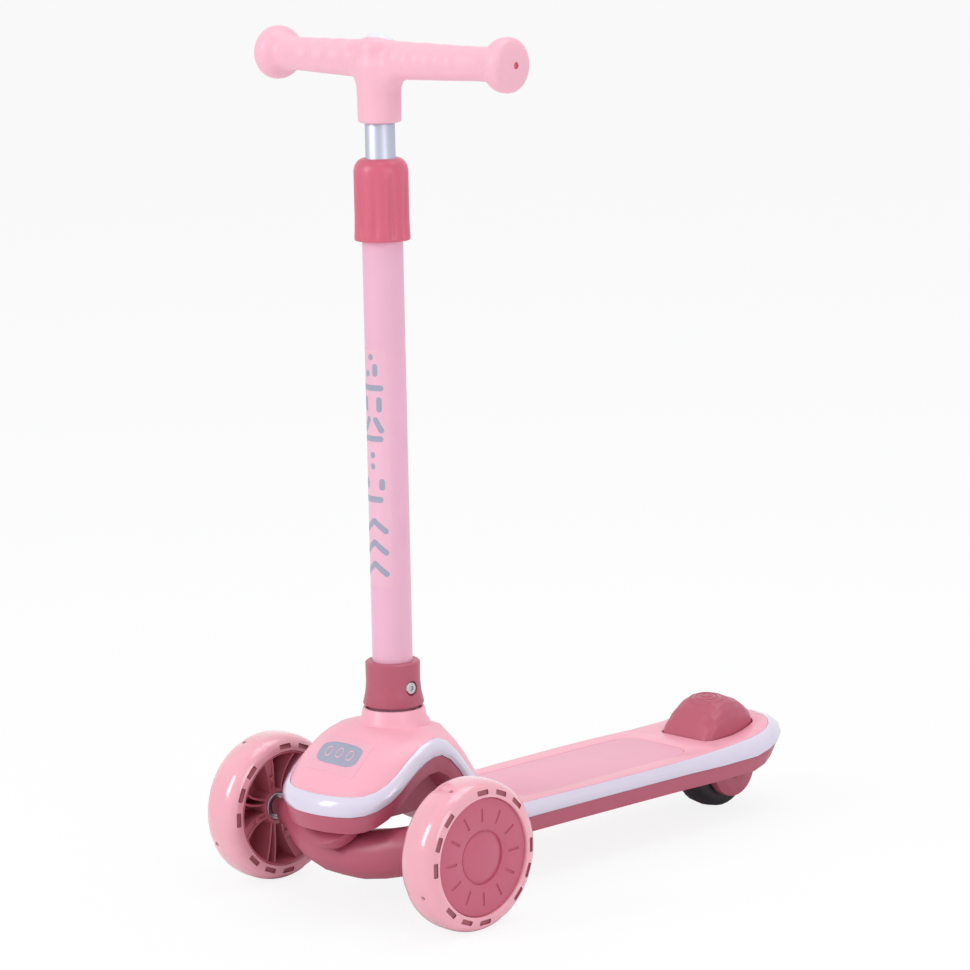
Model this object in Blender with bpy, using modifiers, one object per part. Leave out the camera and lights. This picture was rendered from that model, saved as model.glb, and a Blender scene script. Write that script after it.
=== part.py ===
"""A child's three-wheeled kick scooter that steers by leaning, as an assembly of separate solids.

Metres, +Z up. The scooter faces -Y, and the rider's left hand side is +X. The origin is on the
ground, under the middle of the body's length. Each round piece is turned about its own local Z.
"""

import math

import bmesh
import bpy
from mathutils import Matrix, Vector

# ---- overall sizes ---------------------------------------------------------------------------
GAP = 0.0003               # clearance between pieces that touch
LENGTH = 0.5228            # body, nose to tail
NOSE_REACH = 0.0634        # from the front axle to the nose
FRONT_AXLE_Y = NOSE_REACH - LENGTH / 2

# ---- front wheels ----------------------------------------------------------------------------
WHEEL_R = 0.060
WHEEL_WIDTH = 0.036
WHEEL_TRACK = 0.226        # between the two wheels' middle planes
TYRE_DEPTH = 0.013
RIM_WALL = 0.0032
RIM_WIDTH = 0.0315
CAP_T = 0.0024
CAP_DOME_R = 0.0192
HUB_R = 0.0150
HUB_WIDTH = 0.0180
SPOKES = 8
SPOKE_T = 0.0042
LED_RING_W = 0.0074
LED_RING_T = 0.0014

# ---- bearings and bolts ----------------------------------------------------------------------
BEARING_R = 0.0110
BEARING_BORE_R = 0.00415
BEARING_W = 0.0070
AXLE_R = 0.00385
AXLE_HEAD_R = 0.0065
AXLE_HEAD_T = 0.0027
BEARING_SPACING = 0.0050   # between the two bearings of one wheel
FRONT_BOLT_REACH = 0.034   # of the front axle bolt into the beam

# ---- rear wheel ------------------------------------------------------------------------------
WHEELBASE = 0.404
REAR_R = 0.0365
REAR_WIDTH = 0.030
REAR_TYRE_DEPTH = 0.0125
REAR_CORE_WIDTH = 0.024
REAR_BEARING_SPACING = 0.0060
CHEEK_IN = 0.0173          # inner face of the cheeks that hold the rear axle
CHEEK_T = 0.0077
CHEEK_R = 0.0246
CHEEK_RECESS_R = 0.0090
CHEEK_RECESS_T = 0.0030
WHEEL_SLOT_MARGIN = 0.0035

# ---- body ------------------------------------------------------------------------------------
NOSE_HALF_WIDTH = 0.0578
NOSE_LENGTH = 0.0464       # of the rounded nose, in plan
NOSE_SQUARENESS = 2.07
TAIL_LENGTH = 0.048
TAIL_SQUARENESS = 1.9
WAIST_HALF_WIDTH = 0.0542
DECK_HALF_WIDTH = 0.055
TAIL_HALF_WIDTH = 0.0586
DECK_Z = 0.066             # top of the deck
STRIP_H = 0.0125           # the light strip's height along the deck
BAND_H = 0.0135            # the band of the base that shows under the strip
STRIP_T = 0.0035
STRIP_BULGE = 0.0018
STRIP_LIFT = 0.0022        # of the strip's hidden inner edge above the base
STRIP_EDGE = 0.0036        # height of the strip's face against the covers
NOSE_STRIP_LOW = 0.0851
NOSE_STRIP_HIGH = 0.1010
ARCH_LOW = 0.1229          # crest of the arch over each front wheel, at the strip's lower edge
ARCH_HIGH = 0.1366         # and at its upper edge
TAIL_DIP = 0.0011          # of the strip's bottom edge, ahead of the tail
TAIL_DIP_Y = 0.386
TAIL_KICK = 0.0095         # rise of the tail's top edge
TAIL_KICK_LOW = 0.0148     # rise of the strip's bottom edge there
TAIL_KICK_FROM = 0.378     # behind the front axle
KEEL_HALF_WIDTH = 0.022
KEEL_Z = 0.072             # underside of the nose and keel
DOME_Z = 0.1427
DOME_EXPONENT = 3.6
SEAM_Y = 0.120             # behind the front axle, between front shell and deck cover
BASE_WALL = 0.0042
BASE_FLOOR = 0.0045
BASE_INSET = 0.0008        # of the base inside the body's outline, at its top edge
BASE_TAPER = 0.0026        # further in, at its bottom edge
SHELL_T = 0.0030

# ---- stem ------------------------------------------------------------------------------------
STEM_SETBACK = 0.031       # of the stem's axis behind the front axle
STEM_Y = FRONT_AXLE_Y + STEM_SETBACK
OUTER_TUBE_R = 0.0159
OUTER_TUBE_WALL = 0.0020
OUTER_TUBE_LOW = 0.0840
OUTER_TUBE_TOP = 0.5445
NECK_TOP = 0.1540
NECK_R = 0.0246
NECK_FLARE_R = 0.0290
NECK_WALL = 0.0022
TOWER_WALL = 0.0050
COLLAR_LOW = 0.1563
COLLAR_TOP = 0.1911
COLLAR_R = 0.0217
COLLAR_FLARE_R = 0.0242
COLLAR_BOLT_Z = 0.1710
COLLAR_BOLT_R = 0.0030
COLLAR_HEAD_R = 0.0054
COLLAR_HEAD_T = 0.0028
CLAMP_LOW = 0.5240
CLAMP_TOP = 0.5876
CLAMP_R = 0.0220
COLLET_WALL = 0.0029
INNER_TUBE_R = 0.0117
INNER_TUBE_WALL = 0.0014
INNER_TUBE_LOW = 0.2150
BUSH_H = 0.0250
STEM_BOLT_R = 0.0030
STEM_PLUG_H = 0.0200

# ---- handlebar -------------------------------------------------------------------------------
HUB_LOW = 0.6149
T_HUB_R = 0.0168
BAR_Z = 0.6632
BAR_HALF = 0.1372
BAR_R = 0.0130
BAR_ROOT_R = 0.0146
KNOB_R = 0.0210
KNOB_W = 0.0232
SWEEP = math.radians(5.2)
CROSS_TUBE_R = 0.0080
CROSS_TUBE_WALL = 0.0014
CROSS_TUBE_HALF = 0.1250
VENT_R = 0.0020
HANDLE_TOP = 0.6836
CAP_R = 0.0125
CAP_TILT = math.radians(38)

# ---- steering --------------------------------------------------------------------------------
KINGPIN_TILT = math.radians(45)   # top forward
KINGPIN_SETBACK = -0.012          # of the point that the axis passes through
KINGPIN_Z = 0.053
KINGPIN_R = 0.0040
KINGPIN_BUSH_WALL = 0.0028
KINGPIN_HEAD_R = 0.0070
KINGPIN_HEAD_T = 0.0045
BEAM_DROP_Z = 0.0460
BEAM_REACH = 0.0175               # forward of the front axle, at the middle
BEAM_DEPTH = 0.045
BEAM_HEIGHT = 0.0398
BEAM_END_R = 0.0135
BEAM_END_ROUND = 0.0022
BEAM_NECK_R = 0.0070              # of the short necks between the beam's ends and the bearings
BEAM_NECK_L = 0.0105
COLLAR_SEAT = 0.0110              # along the kingpin, from its reference point
STEER_COLLAR_R = 0.0195
STEER_COLLAR_H = 0.0110
WASHER_T = 0.0010
BOSS_R = 0.0240
BOSS_ROOT_R = 0.0265
BOSS_H = 0.0115
SPRING_WIRE_R = 0.0010
SPRING_TURNS = 2.5

# ---- brake -----------------------------------------------------------------------------------
BRAKE_FRONT = 0.367               # behind the front axle
BRAKE_LENGTH = 0.0655             # of the hump
BRAKE_HALF_WIDTH = 0.0290
BRAKE_TOP = 0.0980
BRAKE_FOOT_Z = 0.0655              # where the hump starts, at its front
BRAKE_FOOT_RISE = 0.0060           # and how much higher at its back
BRAKE_SQUARENESS = 2.7
BRAKE_MARGIN = 0.0010              # gap between the pedal and the deck around it
BRAKE_WALL = 0.0028
BRAKE_SKIRT_Z = 0.0620
BRAKE_SKIRT_RISE = 0.0065          # of the skirt's rear edge over its front edge
BRAKE_PIN_R = 0.0020
BRAKE_PIN_SETBACK = 0.003         # ahead of the pedal
BRAKE_PIN_Z = 0.0585
BRAKE_ARM_IN = 0.0120
BRAKE_ARM_T = 0.0060
BRAKE_LUG_T = 0.0045
SHOE_GAP = 0.0026
SHOE_T = 0.0016
SHOE_HALF_ANGLE = math.radians(20)

# ---- deck pad, badge and screws --------------------------------------------------------------
PAD_FRONT = 0.130
PAD_BACK = 0.338
PAD_HALF_WIDTH = 0.0385
PAD_CORNER_R = 0.020
PAD_T = 0.0012
BADGE_HALF_WIDTH = 0.0170
BADGE_LOW = -0.041                # along the body, from the front axle
BADGE_HIGH = -0.021
BADGE_T = 0.0006
SCREW_R = 0.0014
SCREW_HEAD_R = 0.0030
SCREW_HEAD_T = 0.0018
POST_R = 0.0042

CLOSE_CUTS = ("body_base", "axle_beam", "brake_pedal")   # pieces whose cuts nearly touch

parts = bpy.data.collections.new("kick_scooter")
cutters = bpy.data.collections.new("cutters")
materials = {}


# ---- tools -----------------------------------------------------------------------------------
def clear_scene():
    for item in list(bpy.data.objects):
        bpy.data.objects.remove(item, do_unlink=True)
    bpy.context.scene.collection.children.link(parts)
    bpy.context.scene.collection.children.link(cutters)
    cutters.hide_render = True


def material(name, colour, roughness, metallic=0.0):
    made = bpy.data.materials.new(name)
    made.use_nodes = True
    shader = made.node_tree.nodes["Principled BSDF"]
    shader.inputs["Base Color"].default_value = (*colour, 1.0)
    shader.inputs["Roughness"].default_value = roughness
    shader.inputs["Metallic"].default_value = metallic
    made.diffuse_color = (*colour, 1.0)
    materials[name] = made


def add(name, mesh, finish, place=None):
    """A part with the named finish, or a hidden helper where the finish is None."""
    item = bpy.data.objects.new(name, mesh)
    if finish is None:
        item.hide_render = True
        item.display_type = "WIRE"
        cutters.objects.link(item)
    else:
        mesh.materials.append(materials[finish])
        parts.objects.link(item)
    if place is not None:
        item.matrix_world = place
    return item


def at(x, y, z):
    return Matrix.Translation((x, y, z))


def along_x(x, y, z):
    """Puts a turned piece's axis along +X."""
    return at(x, y, z) @ Matrix.Rotation(math.pi / 2, 4, "Y")


def along_kingpin(distance):
    """Puts a turned piece's axis along the kingpin, whose top leans forward."""
    pivot = at(0, FRONT_AXLE_Y + KINGPIN_SETBACK, KINGPIN_Z)
    return pivot @ Matrix.Rotation(KINGPIN_TILT, 4, "X") @ at(0, 0, distance)


def signed_area(points):
    pairs = zip(points, points[1:] + points[:1])
    return sum(a[0] * b[1] - b[0] * a[1] for a, b in pairs) / 2


def turned(name, profile, finish, place, steps=24, closed=True):
    """Turns (radius, height) points about Z. A closed profile is a ring, an open one ends on the axis."""
    points = list(profile)
    if signed_area(points) > 0:
        points.reverse()
    mesh = bpy.data.meshes.new(name)
    edges = [(i, i + 1) for i in range(len(points) - 1)]
    if closed:
        edges.append((len(points) - 1, 0))
    mesh.from_pydata([(r, 0, h) for r, h in points], edges, [])
    item = add(name, mesh, finish, place)
    screw = item.modifiers.new("turn", "SCREW")
    screw.axis = "Z"
    screw.steps = steps
    screw.render_steps = steps
    screw.use_merge_vertices = True
    screw.merge_threshold = 0.00002
    return item


def ring(name, inner, outer, low, high, finish, place, steps=24):
    profile = [(outer, high), (outer, low), (inner, low), (inner, high)]
    return turned(name, profile, finish, place, steps)


def nut(name, bolt_r, outer, low, high, place):
    """A hexagonal nut whose bore clears a bolt of that radius at its flats."""
    bore = (bolt_r + GAP) / math.cos(math.pi / 6)
    return ring(name, bore, outer, low, high, "steel", place, 6)


def rod(name, radius, low, high, finish, place, steps=16):
    profile = [(0, high), (radius, high), (radius, low), (0, low)]
    return turned(name, profile, finish, place, steps, closed=False)


def box(name, low, high, finish):
    mesh = bpy.data.meshes.new(name)
    shape = bmesh.new()
    bmesh.ops.create_cube(shape, size=1.0)
    size = [b - a for a, b in zip(low, high)]
    middle = [(a + b) / 2 for a, b in zip(low, high)]
    bmesh.ops.scale(shape, vec=size, verts=shape.verts)
    bmesh.ops.translate(shape, vec=middle, verts=shape.verts)
    shape.to_mesh(mesh)
    shape.free()
    return add(name, mesh, finish)


def rounded_plate(name, low, high, corner, finish):
    """A box whose four upright edges are rounded."""
    item = box(name, low, high, finish)
    shape = bmesh.new()
    shape.from_mesh(item.data)
    upright = [e for e in shape.edges if abs(e.verts[0].co.z - e.verts[1].co.z) > 1e-6]
    bmesh.ops.bevel(shape, geom=upright, offset=corner, segments=6, affect="EDGES", profile=0.5)
    shape.to_mesh(item.data)
    shape.free()
    return item


def loft(name, sections, finish, looped=False):
    """Joins closed rings of equally many points, and caps the ends unless the rings close a loop."""
    count = len(sections[0])
    points = [point for section in sections for point in section]
    faces = []
    for i in range(len(sections) if looped else len(sections) - 1):
        near = i * count
        far = (i + 1) % len(sections) * count
        for j in range(count):
            k = (j + 1) % count
            faces.append((near + j, near + k, far + k, far + j))
    if not looped:
        faces.append(tuple(reversed(range(count))))
        faces.append(tuple(range(len(points) - count, len(points))))
    mesh = bpy.data.meshes.new(name)
    mesh.from_pydata([tuple(p) for p in points], [], faces)
    shape = bmesh.new()
    shape.from_mesh(mesh)
    bmesh.ops.triangulate(shape, faces=shape.faces)
    bmesh.ops.recalc_face_normals(shape, faces=shape.faces)
    shape.to_mesh(mesh)
    shape.free()
    return add(name, mesh, finish)


def combine(item, others, operation):
    """The pieces in CLOSE_CUTS need the MANIFOLD solver. The rest keep EXACT."""
    for other in others:
        step = item.modifiers.new(operation.lower(), "BOOLEAN")
        step.operation = operation
        step.solver = "MANIFOLD" if item.name in CLOSE_CUTS else "EXACT"
        step.object = other
    return item


def cut(item, *others):
    return combine(item, others, "DIFFERENCE")


def join(item, *others):
    return combine(item, others, "UNION")


def shade(item):
    item.data.shade_smooth()
    item.data.set_sharp_from_angle(angle=math.radians(35))


def ease(knots, along):
    """A smooth curve through (position, value) knots, level at each knot."""
    if along <= knots[0][0]:
        return knots[0][1]
    for (start, low), (end, high) in zip(knots, knots[1:]):
        if along <= end:
            share = (along - start) / (end - start)
            return low + (high - low) * share * share * (3 - 2 * share)
    return knots[-1][1]


# ---- the body's outline and levels, along y measured from the front axle ---------------------
NOSE_CENTRE = NOSE_LENGTH - NOSE_REACH
TAIL_END = LENGTH - NOSE_REACH
TAIL_CENTRE = TAIL_END - TAIL_LENGTH
ARCH_CREST = STEM_SETBACK - 0.0036
SIDES = (
    (NOSE_CENTRE, NOSE_HALF_WIDTH),
    (STEM_SETBACK, WAIST_HALF_WIDTH),
    (SEAM_Y, DECK_HALF_WIDTH),
    (TAIL_CENTRE, TAIL_HALF_WIDTH),
)
STRIP_LOW = (
    (-0.0570, NOSE_STRIP_LOW),
    (ARCH_CREST, ARCH_LOW),
    (0.0993, DECK_Z - STRIP_H),
    (0.300, DECK_Z - STRIP_H),
    (TAIL_DIP_Y, DECK_Z - STRIP_H - TAIL_DIP),
    (TAIL_END, DECK_Z - STRIP_H + TAIL_KICK_LOW),
)
STRIP_HIGH = (
    (-0.0538, NOSE_STRIP_HIGH),
    (ARCH_CREST, ARCH_HIGH),
    (0.1085, DECK_Z),
    (TAIL_KICK_FROM, DECK_Z),
    (TAIL_END, DECK_Z + TAIL_KICK),
)
KEEL = (
    (0.040, KEEL_Z),
    (0.100, DECK_Z - STRIP_H - BAND_H),
    (TAIL_KICK_FROM, DECK_Z - STRIP_H - BAND_H),
    (TAIL_END, DECK_Z - STRIP_H - BAND_H + TAIL_KICK_LOW),
)
STRIP_INSET = (              # of the strip's top edge inside its bottom edge
    (0.090, 0.0045),
    (0.200, 0.0010),
    (0.280, 0.0010),
    (0.423, 0.0105),
)
STRIP_SWELL = (              # of the strip's face outside its bottom edge
    (0.300, STRIP_BULGE),
    (0.420, 0.0002),
)
BAND_TAPER = (
    (TAIL_KICK_FROM, BASE_TAPER),
    (TAIL_END, 0.0080),
)
DOME_BACK = ((0.0513, DOME_Z), (SEAM_Y - 0.0055, DECK_Z))
ARCH_STEP = 0.0095           # between rows of the outline, along the arches and the front shell
DECK_STEP = 0.040            # and along the straight deck
DOME_FRONT = -0.0580         # where the front shell starts to rise
DOME_RISE = 0.064            # and over what length


def plan_outline():
    """Half of the body's outline seen from above, nose to tail, as (half width, y) points."""
    points = []
    for degrees in (5, 15, 27, 40, 52, 64, 77):
        turn = math.radians(degrees)
        across = NOSE_HALF_WIDTH * math.sin(turn) ** (2 / NOSE_SQUARENESS)
        back = NOSE_LENGTH * math.cos(turn) ** (2 / NOSE_SQUARENESS)
        points.append((across, NOSE_CENTRE - back))
    along = NOSE_CENTRE
    while along < TAIL_CENTRE:
        points.append((ease(SIDES, along), along))
        along += ARCH_STEP if along < SEAM_Y - ARCH_STEP else DECK_STEP
    for degrees in (90, 74, 58, 42, 26, 7):
        turn = math.radians(degrees)
        across = TAIL_HALF_WIDTH * math.sin(turn) ** (2 / TAIL_SQUARENESS)
        back = TAIL_LENGTH * math.cos(turn) ** (2 / TAIL_SQUARENESS)
        points.append((across, TAIL_CENTRE + back))
    return points


def inset_outline(distance):
    """The outline moved inwards, each point along its own normal, by a distance or a function of y."""
    points = plan_outline()
    mirrored = [(-points[0][0], points[0][1])] + points + [(-points[-1][0], points[-1][1])]
    moved = []
    for before, (x, y), after in zip(mirrored, points, mirrored[2:]):
        tangent = Vector((after[0] - before[0], after[1] - before[1])).normalized()
        inwards = distance(y) if callable(distance) else distance
        moved.append((x - tangent.y * inwards, y + tangent.x * inwards))
    return moved


def cover_inset(y):
    """How far the covers stay inside the outline: they meet the strip's top edge."""
    return ease(STRIP_INSET, y) + GAP


def strip_depth(y):
    """How far the strip reaches inside the outline, below the covers' edge."""
    return max(STRIP_T, ease(STRIP_INSET, y) + 0.0004)


def wall_inset(y):
    return strip_depth(y) + GAP


def pocket_inset(y):
    return wall_inset(y) + BASE_WALL


def band_inset(y):
    """How far the band's bottom edge is inside its top edge."""
    return BASE_INSET + ease(BAND_TAPER, y)


def dome_centre(y):
    """Height of the front shell's middle line."""
    if y > DOME_BACK[0][0]:
        return max(ease(DOME_BACK, y), ease(STRIP_HIGH, y))
    share = min(1.0, max(0.0, (y - DOME_FRONT) / DOME_RISE))
    return NOSE_STRIP_HIGH + (DOME_Z - NOSE_STRIP_HIGH) * math.sin(share * math.pi / 2)


def half_width(y):
    """Half width of the body at y, out to the outline."""
    points = plan_outline()
    for (x0, y0), (x1, y1) in zip(points, points[1:]):
        if y <= y1:
            return x0 + (x1 - x0) * max(0.0, y - y0) / (y1 - y0)
    return points[-1][0]


def deck_top(x, y, edge):
    """Height of the top covers at x, where edge is the half width of that row."""
    rim = ease(STRIP_HIGH, y)
    rise = dome_centre(y) - rim
    return rim + rise * (1 - min(1.0, abs(x) / edge) ** DOME_EXPONENT)


def base_bottom(x, y):
    """Underside of the base: the keel in the middle, and the wheel arches beside it."""
    side = ease(STRIP_LOW, y) - BAND_H
    keel = min(side, ease(KEEL, y))
    return keel if abs(x) <= KEEL_HALF_WIDTH else side


def columns(edge, keel, extra=()):
    """Places across a row, from -edge to edge, with a step at the keel's sides."""
    places = sorted({min(keel, edge * 0.55), min(keel + 0.002, edge * 0.65), edge, *extra})
    return [-x for x in reversed(places)] + [0.0] + places


def blend(before, after, share):
    return [tuple(u + (v - u) * share for u, v in zip(p, q)) for p, q in zip(before, after)]


def clip_rows(rows, start, end):
    """The rows between start and end, with a row made where either falls between two others."""
    kept = []
    for before, after in zip(rows, rows[1:] + rows[-1:]):
        low, high = before[-1][1], after[-1][1]
        if start <= low <= end:
            kept.append(before)
        seams = [place for place in (start, end) if low < place < high]
        kept += [blend(before, after, (place - low) / (high - low)) for place in seams]
    return kept


def body_slab(name, finish, top, bottom, insets, keel=KEEL_HALF_WIDTH, start=-1.0, end=1.0, fractions=()):
    """A slab inside the body's outline. top and bottom give a height from x, y and the row's half width."""
    inset_top, inset_bottom = insets
    rows = list(zip(inset_outline(inset_top), inset_outline(inset_bottom), plan_outline()))
    rows = clip_rows(rows, start, end)
    sections = []
    for high, low, (_, y) in rows:
        at_end = min(abs(y - start), abs(y - end)) < 1e-9
        along_high, along_low = (y, y) if at_end else (high[1], low[1])
        across = columns(high[0], keel, [high[0] * f for f in fractions])
        share = low[0] / high[0]
        over = [(x, FRONT_AXLE_Y + along_high, top(x, y, high[0])) for x in across]
        under = [(x * share, FRONT_AXLE_Y + along_low, bottom(x * share, y, high[0])) for x in across]
        sections.append(over + under[::-1])
    return loft(name, sections, finish)


# ---- body ------------------------------------------------------------------------------------
def body_base():
    seat = SHELL_T + GAP
    lower = body_slab(
        "body_base", "rose",
        lambda x, y, e: ease(STRIP_LOW, y) - GAP / 2,
        lambda x, y, e: base_bottom(x, y),
        (BASE_INSET, band_inset),
    )
    upper = body_slab(
        "base_wall_block", None,
        lambda x, y, e: ease(STRIP_HIGH, y) - seat,
        lambda x, y, e: ease(STRIP_LOW, y) - 0.003,
        (wall_inset, wall_inset),
    )
    pocket = body_slab(
        "base_pocket", None,
        lambda x, y, e: ease(STRIP_HIGH, y) + 0.020,
        lambda x, y, e: base_bottom(abs(x) + BASE_WALL, y) + BASE_FLOOR,
        (pocket_inset, pocket_inset),
        keel=KEEL_HALF_WIDTH - BASE_WALL,
    )
    join(lower, upper)
    cut(lower, pocket, wheel_slot(), *steering_space())
    join(lower, stem_tower(), *rear_cheeks(), *brake_lugs(), steering_boss())
    cut(lower, *base_holes())
    return lower


def stem_tower():
    inner = OUTER_TUBE_R + GAP
    return rod("stem_tower", inner + TOWER_WALL, KEEL_Z + 0.002, NECK_TOP - 0.0025, None, at(0, STEM_Y, 0), 28)


def rear_axle_point():
    return FRONT_AXLE_Y + WHEELBASE, REAR_R


def rear_cheeks():
    """Two plates, round at the bottom, each with a hub that reaches to the wheel's bearing."""
    y, z = rear_axle_point()
    top = DECK_Z - SHELL_T - 0.004
    turns = [math.pi * (1 + i / 18) for i in range(19)]
    outline = [(y + CHEEK_R * math.cos(t), z + CHEEK_R * math.sin(t)) for t in turns]
    outline += [(y + CHEEK_R, top), (y - CHEEK_R, top)]
    solids = []
    for side in (-1, 1):
        faces = (side * CHEEK_IN, side * (CHEEK_IN + CHEEK_T))
        plate = loft(f"cheek_plate_{side}", [[(x, *point) for point in outline] for x in faces], None)
        low, high = sorted((side * rear_hub_reach(), side * (CHEEK_IN + 0.002)))
        hub = rod(f"cheek_hub_{side}", rear_hub_radius(), low, high, None, along_x(0, y, z), 20)
        solids += [plate, hub]
    return solids


def rear_hub_radius():
    return BEARING_BORE_R + 0.0025


def rear_hub_reach():
    """Where the cheeks' hubs stop, just outside the rear wheel's bearings."""
    return REAR_BEARING_SPACING / 2 + BEARING_W + GAP


def brake_pin_point():
    return FRONT_AXLE_Y + BRAKE_FRONT - BRAKE_PIN_SETBACK, BRAKE_PIN_Z


def brake_lugs():
    y, z = brake_pin_point()
    inner = BRAKE_ARM_IN + BRAKE_ARM_T + GAP * 2
    solids = []
    for side in (-1, 1):
        near, far = sorted((side * inner, side * (inner + BRAKE_LUG_T)))
        low = (near, y - 0.0055, DECK_Z - STRIP_H - BAND_H + 0.002)
        solids.append(box(f"brake_lug_{side}", low, (far, y + 0.0055, z + BRAKE_PIN_R + 0.0009), None))
    return solids


def boss_start():
    """Where the base's boss begins, along the kingpin, above the collar and the washer."""
    return COLLAR_SEAT + STEER_COLLAR_H + WASHER_T + GAP * 2


def steering_space():
    """Room in the base for the collar that turns below the boss, and for the kingpin's nut above it."""
    end = boss_start()
    return [
        rod("collar_space", STEER_COLLAR_R + 0.0015, -0.03, end, None, along_kingpin(0), 20),
        rod("nut_space", 0.0105, end, 0.06, None, along_kingpin(0), 20),
    ]


def steering_boss():
    start = boss_start()
    profile = [(0, start + BOSS_H), (BOSS_ROOT_R, start + BOSS_H), (BOSS_R, start), (0, start)]
    return turned("steering_boss", profile, None, along_kingpin(0), 24, closed=False)


def deck_screw_places():
    across = PAD_HALF_WIDTH - 0.0085
    return [(side * across, FRONT_AXLE_Y + y) for y in (0.150, 0.320) for side in (-1, 1)]


def shell_screw_places():
    return [(side * KEEL_HALF_WIDTH * 0.6, FRONT_AXLE_Y - 0.002) for side in (-1, 1)]


def wheel_slot():
    """The opening through the base that the rear wheel turns in."""
    y, _ = rear_axle_point()
    inside = CHEEK_IN - 0.0004
    length = REAR_R + WHEEL_SLOT_MARGIN
    return box("wheel_slot", (-inside, y - length, 0.01), (inside, y + length, 0.12), None)


def base_holes():
    y, z = rear_axle_point()
    solids = [rod("rear_axle_bore", BEARING_BORE_R, -0.040, 0.040, None, along_x(0, y, z), 20)]
    for side in (-1, 1):
        bottom = CHEEK_IN + CHEEK_T - CHEEK_RECESS_T
        near, far = sorted((side * bottom, side * 0.040))
        solids.append(rod(f"cheek_recess_{side}", CHEEK_RECESS_R, near, far, None, along_x(0, y, z), 24))
    pin_y, pin_z = brake_pin_point()
    solids.append(rod("brake_pin_bore", BRAKE_PIN_R + GAP, -0.030, 0.030, None, along_x(0, pin_y, pin_z), 16))
    solids.append(rod("tower_bore", OUTER_TUBE_R + GAP, OUTER_TUBE_LOW - GAP, 0.20, None, at(0, STEM_Y, 0), 28))
    solids.append(rod("stem_bolt_bore", STEM_BOLT_R + GAP, 0.050, 0.10, None, at(0, STEM_Y, 0), 16))
    solids.append(rod("stem_bolt_recess", 0.0065, 0.050, KEEL_Z + 0.0045, None, at(0, STEM_Y, 0), 20))
    solids.append(rod("kingpin_bore", KINGPIN_R + GAP, -0.010, 0.060, None, along_kingpin(0), 20))
    for i, (x, along) in enumerate(deck_screw_places() + shell_screw_places()):
        under = KEEL_Z if i > 3 else DECK_Z - STRIP_H - BAND_H
        place = at(x, along, 0)
        head_r = SCREW_HEAD_R + GAP
        solids.append(rod(f"screw_bore_{i}", SCREW_R + GAP, under - 0.01, under + 0.02, None, place, 12))
        solids.append(rod(f"screw_recess_{i}", head_r, under - 0.01, under + 0.0022, None, place, 16))
    return solids


def strip_section(i, y):
    """The strip's section at one point of the outline, as (x, y, z) points."""
    low = ease(STRIP_LOW, y) + GAP / 2
    high = ease(STRIP_HIGH, y)
    rise = high - low
    top = ease(STRIP_INSET, y)
    swell = ease(STRIP_SWELL, y)
    lean = max(0.0, top - STRIP_INSET[0][1])
    depth = strip_depth(y)
    shape = (
        (depth, low + STRIP_LIFT), (0.0, low), (lean * 0.08 - swell, low + rise * 0.28),
        (lean * 0.35 - swell * 0.6, low + rise * 0.58), (lean * 0.35 + top * 0.3, low + rise * 0.84),
        (top, high), (top, high - STRIP_EDGE), (depth, high - STRIP_EDGE - 0.0002),
    )
    return [(*inset_outline(inset)[i], z) for inset, z in shape]


def light_strip():
    sections = [strip_section(i, y) for i, (_, y) in enumerate(plan_outline())]
    right = [[(x, FRONT_AXLE_Y + y, z) for x, y, z in section] for section in sections]
    left = [[(-x, y, z) for x, y, z in section] for section in reversed(right)]
    return loft("light_strip", right + left, "lilac", looped=True)


def cover_slab(name, finish, inset, raised, thickness, start, end):
    return body_slab(
        name, finish,
        lambda x, y, e: deck_top(x, y, e) + raised,
        lambda x, y, e: deck_top(x, y, e) + raised - thickness,
        (inset, inset), start=start, end=end, fractions=(0.8, 0.93),
    )


def front_shell():
    shell = cover_slab("front_shell", "pink", cover_inset, 0.0, SHELL_T, -1.0, SEAM_Y)
    inner = NECK_R - NECK_WALL
    neck = turned("neck", [
        (NECK_R - 0.0008, NECK_TOP), (NECK_R, NECK_TOP - 0.001), (NECK_R + 0.0012, NECK_TOP - 0.008),
        (NECK_FLARE_R, DOME_Z - 0.0012), (NECK_FLARE_R - 0.002, DOME_Z - 0.0022), (inner, DOME_Z - 0.0022),
        (inner, NECK_TOP),
    ], None, at(0, STEM_Y, 0), 32)
    hole = rod("neck_hole", inner, 0.10, 0.17, None, at(0, STEM_Y, 0), 32)
    join(shell, neck)
    cut(shell, hole)
    for i, (x, y) in enumerate(shell_screw_places()):
        top = deck_top(x, y - FRONT_AXLE_Y, half_width(y - FRONT_AXLE_Y))
        screw_post(shell, f"shell_post_{i}", x, y, KEEL_Z + BASE_FLOOR + GAP, top - SHELL_T / 2)
    return shell


def screw_post(owner, name, x, y, low, high):
    join(owner, rod(name, POST_R, low, high, None, at(x, y, 0), 16))
    cut(owner, rod(name + "_bore", SCREW_R + GAP, low - 0.001, low + 0.0085, None, at(x, y, 0), 12))


def deck_cover():
    cover = cover_slab("deck_cover", "pink", cover_inset, 0.0, SHELL_T, SEAM_Y + GAP, 1.0)
    low = (-PAD_HALF_WIDTH - GAP, FRONT_AXLE_Y + PAD_FRONT - GAP, DECK_Z - PAD_T - GAP)
    high = (PAD_HALF_WIDTH + GAP, FRONT_AXLE_Y + PAD_BACK + GAP, DECK_Z + 0.01)
    cut(cover, rounded_plate("pad_recess", low, high, PAD_CORNER_R + GAP, None))
    cut(cover, brake_opening())
    for i, (x, y) in enumerate(deck_screw_places()):
        low_z = DECK_Z - STRIP_H - BAND_H + BASE_FLOOR + GAP
        screw_post(cover, f"deck_post_{i}", x, y, low_z, DECK_Z - SHELL_T + 0.001)
    return cover


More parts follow.
